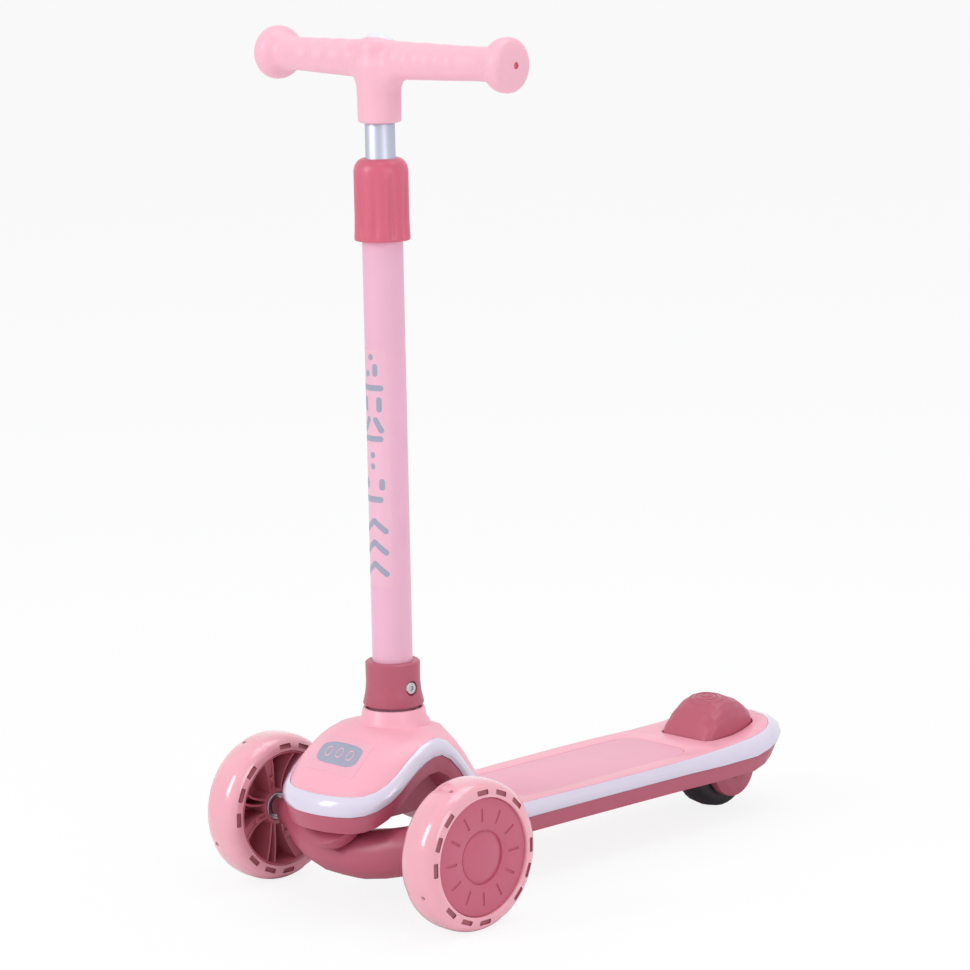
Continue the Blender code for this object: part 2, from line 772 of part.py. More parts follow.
def deck_pad():
    low = (-PAD_HALF_WIDTH, FRONT_AXLE_Y + PAD_FRONT, DECK_Z - PAD_T)
    high = (PAD_HALF_WIDTH, FRONT_AXLE_Y + PAD_BACK, DECK_Z)
    return rounded_plate("deck_pad", low, high, PAD_CORNER_R, "pink_soft")


def nose_badge():
    sections = []
    steps = 4
    for i in range(steps + 1):
        y = BADGE_LOW + (BADGE_HIGH - BADGE_LOW) * i / steps
        share = 2 * i / steps - 1
        across = BADGE_HALF_WIDTH * (1 - 0.35 * share ** 4)
        edge = half_width(y) - cover_inset(y)
        row = [across * j / 3 for j in range(-3, 4)]
        over = [(x, FRONT_AXLE_Y + y, deck_top(x, y, edge) + 0.0006 + BADGE_T) for x in row]
        under = [(x, FRONT_AXLE_Y + y, deck_top(x, y, edge) + 0.0006) for x in reversed(row)]
        sections.append(over + under)
    return loft("nose_badge", sections, "grey")


def screws():
    for i, (x, y) in enumerate(deck_screw_places() + shell_screw_places()):
        group = "shell_screw" if i > 3 else "deck_screw"
        under = KEEL_Z if i > 3 else DECK_Z - STRIP_H - BAND_H
        seat = under + 0.0022 - GAP
        profile = [
            (0, seat + 0.0095), (SCREW_R, seat + 0.0085), (SCREW_R, seat),
            (SCREW_HEAD_R, seat), (SCREW_HEAD_R, seat - SCREW_HEAD_T), (0, seat - SCREW_HEAD_T),
        ]
        number = i - 3 if i > 3 else i + 1
        turned(f"{group}_{number}", profile, "steel", at(x, y, 0), 12, closed=False)


# ---- brake -----------------------------------------------------------------------------------
BRAKE_ROWS = (   # front to back: shares of the length, of the height and of the half width
    (0.00, 0.02, 0.74), (0.03, 0.14, 0.88), (0.10, 0.39, 0.975), (0.20, 0.68, 1.00), (0.33, 0.92, 1.00),
    (0.46, 1.00, 1.00), (0.62, 0.97, 0.99), (0.78, 0.84, 0.95), (0.90, 0.61, 0.86), (0.97, 0.34, 0.68),
    (1.00, 0.10, 0.42),
)


def brake_row_y(share, grow):
    middle = FRONT_AXLE_Y + BRAKE_FRONT + BRAKE_LENGTH / 2
    return middle + (share - 0.5) * (BRAKE_LENGTH + 2 * grow)


def hump(name, finish, grow, skirt_drop):
    """The brake pedal's hump, shrunk by a wall where grow is negative."""
    sections = []
    steps = 10
    for share, high, wide in BRAKE_ROWS:
        foot = BRAKE_FOOT_Z + BRAKE_FOOT_RISE * share
        height = (BRAKE_TOP - foot + grow) * high
        half = BRAKE_HALF_WIDTH * wide + grow
        skirt = BRAKE_SKIRT_Z + BRAKE_SKIRT_RISE * share - skirt_drop
        y = brake_row_y(share, grow)
        section = [(half, y, skirt)]
        for i in range(steps + 1):
            turn = math.pi * i / steps
            across = math.copysign(abs(math.cos(turn)) ** (2 / BRAKE_SQUARENESS), math.cos(turn))
            section.append((half * across, y, foot + height * math.sin(turn) ** (2 / BRAKE_SQUARENESS)))
        section.append((-half, y, skirt))
        sections.append(section)
    return loft(name, sections, finish)


def brake_opening():
    """The hole in the deck cover that the hump stands in."""
    side = [
        (BRAKE_HALF_WIDTH * wide + BRAKE_MARGIN, brake_row_y(share, BRAKE_MARGIN))
        for share, _, wide in BRAKE_ROWS
    ]
    outline = side + [(-x, y) for x, y in reversed(side)]
    return loft("brake_opening", [[(x, y, z) for x, y in outline] for z in (DECK_Z - 0.03, DECK_Z + 0.03)], None)


def brake_pedal():
    pedal = hump("brake_pedal", "rose", 0.0, 0.0)
    cut(pedal, hump("brake_hollow", None, -BRAKE_WALL, 0.010))
    y, z = brake_pin_point()
    for side in (-1, 1):
        near, far = sorted((side * BRAKE_ARM_IN, side * (BRAKE_ARM_IN + BRAKE_ARM_T)))
        reach = FRONT_AXLE_Y + BRAKE_FRONT + BRAKE_WALL + 0.0040
        arm = box(f"brake_arm_{side}", (near, y - 0.0040, z - 0.0036), (far, reach, z + 0.0034), None)
        riser = box(f"brake_riser_{side}", (near, reach - 0.0030, z), (far, reach, BRAKE_SKIRT_Z + 0.010), None)
        join(pedal, arm, riser)
    rib_low = rear_shoe_radius() + SHOE_T + GAP
    wheel_y, wheel_z = rear_axle_point()
    rib_low_z = wheel_z + rib_low
    rib_high = (0.0040, wheel_y + 0.007, BRAKE_TOP - 0.0025)
    rib = box("shoe_rib", (-0.0040, wheel_y - 0.007, rib_low_z), rib_high, None)
    join(pedal, rib)
    cut(pedal, rod("pedal_pin_bore", BRAKE_PIN_R + GAP, -0.03, 0.03, None, along_x(0, y, z), 16))
    return pedal


def rear_shoe_radius():
    return REAR_R + SHOE_GAP


def brake_shoe():
    y, z = rear_axle_point()
    sections = []
    steps = 6
    for i in range(steps + 1):
        turn = SHOE_HALF_ANGLE * (2 * i / steps - 1)
        for_radius = (rear_shoe_radius(), rear_shoe_radius() + SHOE_T)
        low, high = [(y + r * math.sin(turn), z + r * math.cos(turn)) for r in for_radius]
        half = REAR_WIDTH / 2 - 0.004
        sections.append([(-half, *low), (half, *low), (half, *high), (-half, *high)])
    return loft("brake_shoe", sections, "steel")


def brake_pin():
    y, z = brake_pin_point()
    reach = BRAKE_ARM_IN + BRAKE_ARM_T + 2 * GAP + BRAKE_LUG_T
    return rod("brake_pin", BRAKE_PIN_R, -reach, reach, "steel", along_x(0, y, z), 16)


def wire(name, points, radius, finish):
    curve = bpy.data.curves.new(name, "CURVE")
    curve.dimensions = "3D"
    curve.bevel_depth = radius
    curve.bevel_resolution = 0
    curve.use_fill_caps = True
    line = curve.splines.new("POLY")
    line.points.add(len(points) - 1)
    for point, place in zip(line.points, points):
        point.co = (*place, 1.0)
    item = bpy.data.objects.new(name, curve)
    curve.materials.append(materials[finish])
    parts.objects.link(item)
    return item


def brake_spring():
    """A torsion spring about the pin, with one leg on the base and one under the pedal."""
    y, z = brake_pin_point()
    radius = BRAKE_PIN_R + 0.0016
    turns = 4
    steps = 8
    points = [(-0.0060, y - 0.0120, z - 0.0100)]
    for i in range(turns * steps + steps // 2 + 1):
        turn = 2 * math.pi * i / steps - math.pi * 0.75
        x = -0.0060 + 0.0024 * i / steps
        points.append((x, y + radius * math.sin(turn), z + radius * math.cos(turn)))
    points.append((points[-1][0], y + 0.0075, z + 0.0014))
    return wire("brake_spring", points, 0.0006, "steel")


# ---- wheels ----------------------------------------------------------------------------------
def tyre_profile(outer, depth, width, shoulder):
    """A rounded tread between two flat sides, as (radius, height) points."""
    half = width / 2
    crown = outer - shoulder
    points = [(outer - depth, half), (crown - (crown - outer + depth) * 0.35, half)]
    for degrees in (68, 35, 0, -35, -68):
        turn = math.radians(degrees)
        across = half * math.copysign(abs(math.sin(turn)) ** 0.75, turn)
        points.append((crown + shoulder * math.cos(turn) ** 0.75, across))
    points += [(crown - (crown - outer + depth) * 0.35, -half), (outer - depth, -half)]
    return points


def front_wheel(side, label):
    """One front wheel. side is +1 or -1, and offsets count outwards from its middle plane."""
    middle = side * WHEEL_TRACK / 2
    facing = 0 if side > 0 else math.pi
    place = at(middle, FRONT_AXLE_Y, WHEEL_R) @ Matrix.Rotation(facing, 4, "Z") @ along_x(0, 0, 0)
    front_tyre(place, label)
    front_core(place, label)
    hub_cap(place, label)
    bearing_pair(place, label)
    front_bolt(place, label)


def front_inner_face():
    """Offset of the inner bearing's inner face."""
    return -BEARING_W


def front_outer_face():
    return BEARING_SPACING + BEARING_W


def front_tyre(place, label):
    profile = tyre_profile(WHEEL_R, TYRE_DEPTH, WHEEL_WIDTH, 0.0075)
    groove = WHEEL_R - TYRE_DEPTH + LED_RING_T + 2 * GAP
    half = LED_RING_W / 2 + GAP
    inner = WHEEL_R - TYRE_DEPTH
    profile += [(inner, -half), (groove, -half), (groove, half), (inner, half)]
    turned(f"front_tyre_{label}", profile, "clear_pink", place, 32)
    low = inner + GAP
    ring(f"led_ring_{label}", low, low + LED_RING_T, -LED_RING_W / 2, LED_RING_W / 2, "circuit", place, 32)


def cap_seat():
    """Offset of the face that the hub cap sits on."""
    return WHEEL_WIDTH / 2 - CAP_T - 0.0014


def front_core(place, label):
    rim_out = WHEEL_R - TYRE_DEPTH - GAP
    low = cap_seat() - GAP - RIM_WIDTH
    high = cap_seat() - GAP
    core = ring(f"front_core_{label}", rim_out - RIM_WALL, rim_out, low, high, "rose_core", place, 28)
    star = spoke_disc(f"spokes_{label}", rim_out - RIM_WALL * 0.4, place)
    seats = [
        rod(f"seat_in_{label}", BEARING_R + GAP, -0.03, GAP, None, place, 20),
        rod(f"seat_out_{label}", BEARING_R + GAP, BEARING_SPACING, 0.03, None, place, 20),
        rod(f"seat_mid_{label}", BEARING_R - 0.0012, -0.001, BEARING_SPACING + 0.001, None, place, 20),
    ]
    join(core, star)
    cut(core, *seats)


def spoke_disc(name, outer, place):
    """Hub and spokes, cut from one disc by equal windows."""
    low = front_inner_face() + 0.0006
    disc = rod(name, outer, low, low + HUB_WIDTH, None, place, 28)
    for i in range(SPOKES):
        window = spoke_window(f"{name}_window_{i}", i, outer - RIM_WALL * 0.8)
        window.matrix_world = place
        cut(disc, window)
    return disc


def spoke_window(name, number, outer):
    """A prism between two spokes, from the hub to the rim."""
    middle = 2 * math.pi * (number + 0.5) / SPOKES
    half_pitch = math.pi / SPOKES
    outline = []
    for radius, count in ((HUB_R, 2), (outer, 4)):
        reach = half_pitch - math.asin(SPOKE_T / 2 / radius)
        turns = [middle + reach * (2 * i / (count - 1) - 1) for i in range(count)]
        arc = [(radius * math.cos(t), radius * math.sin(t)) for t in turns]
        outline += arc if radius == HUB_R else arc[::-1]
    sections = [[(x, y, z) for x, y in outline] for z in (-0.03, 0.03)]
    return loft(name, sections, None)


def hub_cap(place, label):
    seat = cap_seat()
    face = seat + CAP_T
    radius = WHEEL_R - TYRE_DEPTH - 2 * GAP
    crest = WHEEL_WIDTH / 2 - 0.0001
    hollow = AXLE_HEAD_R + 0.0040
    profile = [
        (0, crest), (CAP_DOME_R * 0.55, crest - 0.0004), (CAP_DOME_R * 0.9, face + 0.0002),
        (CAP_DOME_R, face - 0.0006), (radius - 0.001, face), (radius, face - 0.0006), (radius, seat),
        (hollow, seat), (hollow, front_outer_face() + AXLE_HEAD_T + 3 * GAP),
        (0, front_outer_face() + AXLE_HEAD_T + 3 * GAP),
    ]
    turned(f"hub_cap_{label}", profile, "rose", place, 32, closed=False)


def bearing(name, low, place):
    ring(name, BEARING_BORE_R, BEARING_R, low, low + BEARING_W, "steel", place, 20)


def bearing_pair(place, label):
    bearing(f"front_bearing_inner_{label}", front_inner_face(), place)
    bearing(f"front_bearing_outer_{label}", BEARING_SPACING + GAP, place)
    ring(f"dynamo_magnet_{label}", BEARING_BORE_R, 0.0090, GAP, BEARING_SPACING, "steel", place, 16)


def headed_bolt(name, radius, head_r, head_t, seat, tip, place, finish="steel", socket=0.0):
    """A bolt whose head starts at seat and whose shank ends at tip, below it."""
    profile = [(0, seat + head_t), (head_r * 0.8, seat + head_t), (head_r, seat + head_t * 0.6)]
    if socket:
        deep = seat + head_t * 0.45
        profile = [(0, deep), (socket, deep), (socket, seat + head_t)] + profile[1:]
    profile += [(head_r, seat), (radius, seat), (radius, tip + 0.0006), (radius - 0.0006, tip), (0, tip)]
    return turned(name, profile, finish, place, 16, closed=False)


def front_bolt(place, label):
    seat = front_outer_face() + GAP * 2
    tip = front_inner_face() - FRONT_BOLT_REACH
    headed_bolt(f"front_axle_bolt_{label}", AXLE_R, AXLE_HEAD_R, AXLE_HEAD_T - GAP, seat, tip, place)


def rear_wheel():
    y, z = rear_axle_point()
    place = along_x(0, y, z)
    turned("rear_tyre", tyre_profile(REAR_R, REAR_TYRE_DEPTH, REAR_WIDTH, 0.0095), "black", place, 32)
    rim = REAR_R - REAR_TYRE_DEPTH - GAP
    half = REAR_CORE_WIDTH / 2
    web = REAR_BEARING_SPACING / 2
    profile = [
        (rim, half), (rim, -half), (rim - 0.0030, -half), (rim - 0.0030, -web - 0.003),
        (BEARING_R + 0.0035, -web - 0.003), (BEARING_R + 0.0035, -web - BEARING_W + 0.0004),
        (BEARING_R + GAP, -web - BEARING_W + 0.0004), (BEARING_R + GAP, -web),
        (BEARING_R - 0.0012, -web), (BEARING_R - 0.0012, web), (BEARING_R + GAP, web),
        (BEARING_R + GAP, web + BEARING_W - 0.0004), (BEARING_R + 0.0035, web + BEARING_W - 0.0004),
        (BEARING_R + 0.0035, web + 0.003), (rim - 0.0030, web + 0.003), (rim - 0.0030, half),
    ]
    turned("rear_core", profile, "black_core", place, 20)
    bearing("rear_bearing_left", web + GAP / 2, place)
    bearing("rear_bearing_right", -web - BEARING_W - GAP / 2, place)
    ring("rear_spacer", BEARING_BORE_R, 0.0080, -web + GAP / 2, web - GAP / 2, "steel", place, 16)
    seat = CHEEK_IN + CHEEK_T - CHEEK_RECESS_T + GAP
    headed_bolt("rear_axle_bolt", AXLE_R, 0.0068, 0.0026, seat, -seat - 0.0036, place, socket=0.0024)
    nut("rear_axle_nut", AXLE_R, 0.0074, -seat - 0.0038, -seat, place)


# ---- steering --------------------------------------------------------------------------------
BEAM_TIP_X = WHEEL_TRACK / 2 - BEARING_W - 2 * GAP
BEAM_END_X = BEAM_TIP_X - BEAM_NECK_L


def beam_section(x):
    """One upright section of the beam, as points around an ellipse."""
    reach = abs(x)
    height = ease(((0.010, BEAM_DROP_Z), (BEAM_END_X, WHEEL_R)), reach)
    forward = ease(((0.020, BEAM_REACH), (BEAM_END_X, 0.0)), reach)
    deep = ease(((0.050, BEAM_DEPTH / 2), (BEAM_END_X, BEAM_END_R)), reach)
    tall = ease(((0.060, BEAM_HEIGHT / 2), (BEAM_END_X, BEAM_END_R)), reach)
    if reach == BEAM_END_X:
        deep -= BEAM_END_ROUND
        tall -= BEAM_END_ROUND
    points = []
    for i in range(18):
        turn = 2 * math.pi * i / 18
        points.append((x, FRONT_AXLE_Y - forward + deep * math.cos(turn), height + tall * math.sin(turn)))
    return points


def axle_beam():
    half = (0.20, 0.42, 0.62, 0.78, 0.90, 1 - BEAM_END_ROUND / BEAM_END_X, 1.0)
    places = [-share for share in reversed(half)] + [0.0, *half]
    beam = loft("axle_beam", [beam_section(BEAM_END_X * share) for share in places], "rose")
    tip = WHEEL_TRACK / 2 - BEARING_W - FRONT_BOLT_REACH - 0.001
    neck_start = BEAM_END_X - BEAM_END_R
    axle = along_x(0, FRONT_AXLE_Y, WHEEL_R)
    join(
        beam,
        rod("beam_neck_left", BEAM_NECK_R, neck_start, BEAM_TIP_X, None, axle, 20),
        rod("beam_neck_right", BEAM_NECK_R, -BEAM_TIP_X, -neck_start, None, axle, 20),
    )
    bush_r = KINGPIN_R + KINGPIN_BUSH_WALL + 2 * GAP
    bores = [
        rod("beam_bore_left", BEARING_BORE_R, tip, 0.12, None, axle, 20),
        rod("beam_bore_right", BEARING_BORE_R, -0.12, -tip, None, axle, 20),
        rod("beam_kingpin_bore", bush_r, -0.05, 0.05, None, along_kingpin(0), 20),
        rod("collar_seat", STEER_COLLAR_R + GAP, COLLAR_SEAT - GAP, 0.05, None, along_kingpin(0), 20),
        rod("head_seat", KINGPIN_HEAD_R + 0.002, -0.05, kingpin_seat(), None, along_kingpin(0), 20),
    ]
    return cut(beam, *bores)


def kingpin_seat():
    """Where the kingpin's head bears on the underside of the beam."""
    return -0.0150


def steering_collar():
    low = COLLAR_SEAT
    top = COLLAR_SEAT + STEER_COLLAR_H
    bore = KINGPIN_R + KINGPIN_BUSH_WALL + 2 * GAP
    inner, outer = spring_trough()
    profile = [
        (STEER_COLLAR_R - 0.001, top), (STEER_COLLAR_R, top - 0.001), (STEER_COLLAR_R, low), (bore, low),
        (bore, top), (inner, top), (inner, low + 0.0025), (outer, low + 0.0025), (outer, top),
    ]
    turned("steering_collar", profile, "rose", along_kingpin(0), 20)


def spring_trough():
    """Inner and outer radius of the trough in the steering collar."""
    inner = KINGPIN_R + KINGPIN_BUSH_WALL + 2 * GAP + 0.0018
    return inner, inner + 2 * SPRING_WIRE_R + 0.0026


def steering_spring():
    inner, outer = spring_trough()
    radius = (inner + outer) / 2
    steps = 8
    low = COLLAR_SEAT + 0.0025 + SPRING_WIRE_R + GAP
    pitch = 2 * SPRING_WIRE_R + GAP
    points = []
    for i in range(round(SPRING_TURNS * steps) + 1):
        turn = 2 * math.pi * i / steps
        points.append((radius * math.cos(turn), radius * math.sin(turn), low + pitch * i / steps))
    spring = wire("steering_spring", points, SPRING_WIRE_R, "steel")
    spring.matrix_world = along_kingpin(0)


def kingpin():
    washer = COLLAR_SEAT + STEER_COLLAR_H + GAP
    boss_top = boss_start() + BOSS_H
    washer_r = STEER_COLLAR_R - 0.0015
    inner = KINGPIN_R + GAP
    ring("thrust_washer", inner, washer_r, washer, washer + WASHER_T, "steel", along_kingpin(0), 20)
    low = kingpin_seat() + GAP
    bush_r = inner + KINGPIN_BUSH_WALL
    ring("kingpin_bush", inner, bush_r, low, washer - GAP, "black_core", along_kingpin(0), 20)
    headed_bolt(
        "kingpin_bolt", KINGPIN_R, KINGPIN_HEAD_R, KINGPIN_HEAD_T, -kingpin_seat(), -boss_top - 0.0066,
        along_kingpin(0) @ Matrix.Rotation(math.pi, 4, "X"),
    )
    nut("kingpin_nut", KINGPIN_R, 0.0076, boss_top + GAP, boss_top + 0.0058, along_kingpin(0))


# ---- stem ------------------------------------------------------------------------------------
def stem():
    place = at(0, STEM_Y, 0)
    cross = along_x(0, STEM_Y, COLLAR_BOLT_Z)
    tube_bore = OUTER_TUBE_R - OUTER_TUBE_WALL
    tube = ring("outer_tube", tube_bore, OUTER_TUBE_R, OUTER_TUBE_LOW, OUTER_TUBE_TOP, "stem_pink", place, 28)
    collar = turned("lower_collar", [
        (COLLAR_R - 0.0012, COLLAR_TOP), (COLLAR_R, COLLAR_TOP - 0.0012), (COLLAR_R - 0.0002, 0.175),
        (COLLAR_R + 0.0006, 0.166), (COLLAR_FLARE_R, COLLAR_LOW + 0.0015), (COLLAR_FLARE_R - 0.0006, COLLAR_LOW),
        (OUTER_TUBE_R + GAP, COLLAR_LOW), (OUTER_TUBE_R + GAP, COLLAR_TOP),
    ], "rose", place, 28)
    seat = COLLAR_R - COLLAR_HEAD_T - 0.0008
    bore = rod("collar_bolt_bore", COLLAR_BOLT_R + GAP, -0.03, 0.03, None, cross, 16)
    sides = [
        rod("collar_recess_left", COLLAR_HEAD_R + GAP * 2, seat, 0.03, None, cross, 20),
        rod("collar_recess_right", COLLAR_HEAD_R + GAP * 2, -0.03, -seat, None, cross, 20),
    ]
    cut(tube, bore)
    cut(collar, bore, *sides)
    headed_bolt(
        "collar_bolt", COLLAR_BOLT_R, COLLAR_HEAD_R, COLLAR_HEAD_T, seat + GAP, -seat - 0.0026, cross,
        socket=0.0020,
    )
    nut("collar_nut", COLLAR_BOLT_R, COLLAR_HEAD_R, -seat - 0.0026, -seat - GAP, cross)
    plug_low = OUTER_TUBE_LOW + GAP
    plug_r = OUTER_TUBE_R - OUTER_TUBE_WALL - GAP
    profile = [
        (plug_r, plug_low + STEM_PLUG_H), (plug_r, plug_low), (STEM_BOLT_R + GAP, plug_low),
        (STEM_BOLT_R + GAP, plug_low + STEM_PLUG_H),
    ]
    turned("stem_plug", profile, "black_core", place, 24)
    head_seat = KEEL_Z + 0.0045 - GAP
    headed_bolt(
        "stem_bolt", STEM_BOLT_R, 0.0058, 0.0032, -head_seat, -OUTER_TUBE_LOW - STEM_PLUG_H + 0.002,
        place @ Matrix.Rotation(math.pi, 4, "X"),
    )


def clamp():
    place = at(0, STEM_Y, 0)
    inner = INNER_TUBE_R + GAP
    shelf = OUTER_TUBE_TOP + GAP
    cavity = inner + COLLET_WALL + GAP
    top = CLAMP_TOP - 0.0055
    profile = [
        (inner + 0.0012, CLAMP_TOP), (CLAMP_R - 0.006, CLAMP_TOP - 0.0010), (CLAMP_R - 0.0022, CLAMP_TOP - 0.0045),
        (CLAMP_R - 0.0008, CLAMP_TOP - 0.0100), (CLAMP_R - 0.0006, CLAMP_LOW + 0.012), (CLAMP_R, CLAMP_LOW + 0.0012),
        (CLAMP_R - 0.0012, CLAMP_LOW), (OUTER_TUBE_R + GAP, CLAMP_LOW), (OUTER_TUBE_R + GAP, shelf),
        (cavity, shelf), (cavity, top), (inner + 0.0004, top + 0.001), (inner + 0.0004, CLAMP_TOP - 0.0008),
    ]
    turned("clamp_collar", profile, "clamp_rose", place, 32)
    collet = ring("clamp_collet", inner, inner + COLLET_WALL, shelf + GAP, top - GAP, "black_core", place, 28)
    slit = box("collet_slit", (-0.0008, STEM_Y, 0.5), (0.0008, STEM_Y + 0.03, 0.62), None)
    cut(collet, slit)


# ---- handlebar -------------------------------------------------------------------------------
def bar_middle(x):
    """The handlebar's centre line, both grips swept back."""
    soft = 0.012
    return STEM_Y + math.tan(SWEEP) * (math.hypot(x, soft) - soft), BAR_Z


def bar_ring(x, radius, steps):
    y, z = bar_middle(x)
    turns = [2 * math.pi * i / steps for i in range(steps)]
    lean = math.tan(SWEEP) * x / math.hypot(x, 0.012)
    return [(x - radius * math.cos(t) * lean, y + radius * math.cos(t), z + radius * math.sin(t)) for t in turns]


def grip_radius():
    """(distance from the middle, radius) points of one side of the grip."""
    knob = BAR_HALF - KNOB_W
    return (
        (0.0, BAR_ROOT_R + 0.001), (0.022, BAR_ROOT_R), (0.060, BAR_ROOT_R - 0.0006), (knob - 0.012, BAR_R),
        (knob, BAR_R + 0.0010), (knob + 0.0030, KNOB_R * 0.78), (knob + 0.0075, KNOB_R * 0.95),
        (BAR_HALF - 0.0085, KNOB_R), (BAR_HALF - 0.0040, KNOB_R * 0.94), (BAR_HALF - 0.0012, KNOB_R * 0.72),
        (BAR_HALF, KNOB_R * 0.3),
    )


def handlebar():
    side = grip_radius()
    sections = [bar_ring(-x, r, 18) for x, r in reversed(side[1:])] + [bar_ring(x, r, 18) for x, r in side]
    grip = loft("handlebar_grip", sections, "pink")
    place = at(0, STEM_Y, 0)
    hub = turned("t_hub", [
        (0, HANDLE_TOP - 0.0012), (0.0070, HANDLE_TOP - 0.0022), (0.0120, HANDLE_TOP - 0.0052),
        (0.0155, HANDLE_TOP - 0.0110), (T_HUB_R + 0.0002, BAR_Z), (T_HUB_R, HUB_LOW + 0.030),
        (T_HUB_R, HUB_LOW + 0.0010), (T_HUB_R - 0.001, HUB_LOW), (0, HUB_LOW),
    ], None, place, 32, closed=False)
    join(grip, hub)
    bores = [
        rod("hub_bore", INNER_TUBE_R + GAP, HUB_LOW - 0.01, inner_tube_top() + GAP, None, place, 28),
        loft("bar_bore", cross_tube_rings(CROSS_TUBE_R + GAP, CROSS_TUBE_HALF + GAP), None),
        rod("handle_cap_seat", CAP_R + GAP, -0.0044, 0.02, None, cap_place(), 28),
    ]
    cut(grip, *bores)
    vent_place = along_x(0, bar_middle(BAR_HALF)[0], BAR_Z)
    vent_start = CROSS_TUBE_HALF - 0.004
    cut(grip, rod("vent_left", VENT_R, vent_start, BAR_HALF + 0.02, None, vent_place, 12))
    cut(grip, rod("vent_right", VENT_R, -BAR_HALF - 0.02, -vent_start, None, vent_place, 12))
    tube = loft("handlebar_tube", cross_tube_rings(CROSS_TUBE_R, CROSS_TUBE_HALF), "steel")
    cut(tube, loft("tube_bore", cross_tube_rings(CROSS_TUBE_R - CROSS_TUBE_WALL, CROSS_TUBE_HALF + 0.01), None))


def inner_tube_top():
    return BAR_Z - CROSS_TUBE_R - GAP


def cross_tube_rings(radius, half):
    shares = (-1.0, -0.25, -0.08, 0.0, 0.08, 0.25, 1.0)
    return [bar_ring(half * share, radius, 14) for share in shares]


def cap_place():
    """The badge-like cap on the hub faces up and back, towards the rider."""
    return at(0, STEM_Y + 0.0062, HANDLE_TOP - 0.0062) @ Matrix.Rotation(-CAP_TILT, 4, "X")


def handle_cap():
    profile = [
        (0, 0.0042), (CAP_R * 0.5, 0.0036), (CAP_R * 0.85, 0.0020), (CAP_R, 0.0), (CAP_R, -0.0041), (0, -0.0041),
    ]
    turned("handle_cap", profile, "white", cap_place(), 28, closed=False)


def inner_tube():
    place = at(0, STEM_Y, 0)
    inner = INNER_TUBE_R - INNER_TUBE_WALL
    ring("inner_tube", inner, INNER_TUBE_R, INNER_TUBE_LOW, inner_tube_top(), "aluminium", place, 28)
    bush_in = INNER_TUBE_R + GAP
    bush_out = OUTER_TUBE_R - OUTER_TUBE_WALL - GAP
    ring("tube_bush", bush_in, bush_out, INNER_TUBE_LOW, INNER_TUBE_LOW + BUSH_H, "black_core", place, 28)


def build_materials():
    material("pink", (0.93, 0.45, 0.55), 0.45)
    material("pink_soft", (0.93, 0.46, 0.57), 0.60)
    material("stem_pink", (0.85, 0.49, 0.64), 0.35)
    material("rose", (0.60, 0.12, 0.20), 0.45)
    material("clamp_rose", (0.74, 0.14, 0.24), 0.40)
    material("rose_core", (0.70, 0.25, 0.30), 0.45)
    material("clear_pink", (0.90, 0.35, 0.40), 0.15)
    material("lilac", (0.70, 0.64, 0.77), 0.12)
    material("white", (0.85, 0.85, 0.92), 0.25)
    material("grey", (0.32, 0.29, 0.35), 0.50)
    material("black", (0.02, 0.02, 0.025), 0.55)
    material("black_core", (0.04, 0.04, 0.045), 0.45)
    material("steel", (0.60, 0.60, 0.62), 0.30, 1.0)
    material("aluminium", (0.62, 0.64, 0.70), 0.25, 1.0)
    material("circuit", (0.70, 0.66, 0.60), 0.50)


def main():
    clear_scene()
    build_materials()
    body_base()
    front_shell()
    light_strip()
    deck_cover()
    deck_pad()
    nose_badge()
    screws()
    brake_pedal()
    brake_shoe()
    brake_pin()
    brake_spring()
    front_wheel(1, "left")
    front_wheel(-1, "right")
    rear_wheel()
    axle_beam()
    steering_collar()
    steering_spring()
    kingpin()
    stem()
    clamp()
    handlebar()
    handle_cap()
    inner_tube()
    for item in parts.objects:
        if item.type == "MESH":
            shade(item)


main()
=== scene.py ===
"""Looks of a child's three-wheeled kick scooter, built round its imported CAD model.

Metres, +Z up; the scooter faces -Y, and the rider's left hand side is +X. Round pieces are spun
from a profile, and every finished piece rests at the origin with its place in its own mesh.
"""

import math

import bpy
from mathutils import Matrix, Vector


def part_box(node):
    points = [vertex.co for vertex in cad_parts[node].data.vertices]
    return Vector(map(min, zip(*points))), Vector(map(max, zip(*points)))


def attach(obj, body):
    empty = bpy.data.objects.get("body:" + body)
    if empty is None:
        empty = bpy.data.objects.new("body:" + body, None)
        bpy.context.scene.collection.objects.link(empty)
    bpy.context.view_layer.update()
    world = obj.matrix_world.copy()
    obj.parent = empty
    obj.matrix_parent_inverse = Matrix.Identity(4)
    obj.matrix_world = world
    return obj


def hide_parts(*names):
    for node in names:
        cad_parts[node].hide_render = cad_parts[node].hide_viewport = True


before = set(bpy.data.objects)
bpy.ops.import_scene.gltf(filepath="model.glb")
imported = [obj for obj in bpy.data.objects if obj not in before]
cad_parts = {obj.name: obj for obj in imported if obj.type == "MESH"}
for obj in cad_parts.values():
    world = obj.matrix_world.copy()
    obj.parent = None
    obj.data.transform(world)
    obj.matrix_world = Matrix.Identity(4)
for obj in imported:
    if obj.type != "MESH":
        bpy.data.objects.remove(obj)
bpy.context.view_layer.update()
X, Y, Z = Vector((1, 0, 0)), Vector((0, 1, 0)), Vector((0, 0, 1))
MM = 0.001
SAME_PLACE = 2e-6          # corners nearer than this are one corner


# ---- places taken from the frame -------------------------------------------------------------
def middle(node):
    low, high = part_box(node)
    return (Vector(low) + Vector(high)) / 2


def top_of(node):
    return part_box(node)[1][2]


def low_of(node):
    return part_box(node)[0][2]


WHEEL = middle("front_tyre_left")               # centre of the left front wheel
WHEEL_R = (top_of("front_tyre_left") - low_of("front_tyre_left")) / 2
WHEEL_HALF = (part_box("front_tyre_left")[1][0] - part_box("front_tyre_left")[0][0]) / 2
STEM = Vector((0.0, middle("outer_tube").y, 0.0))


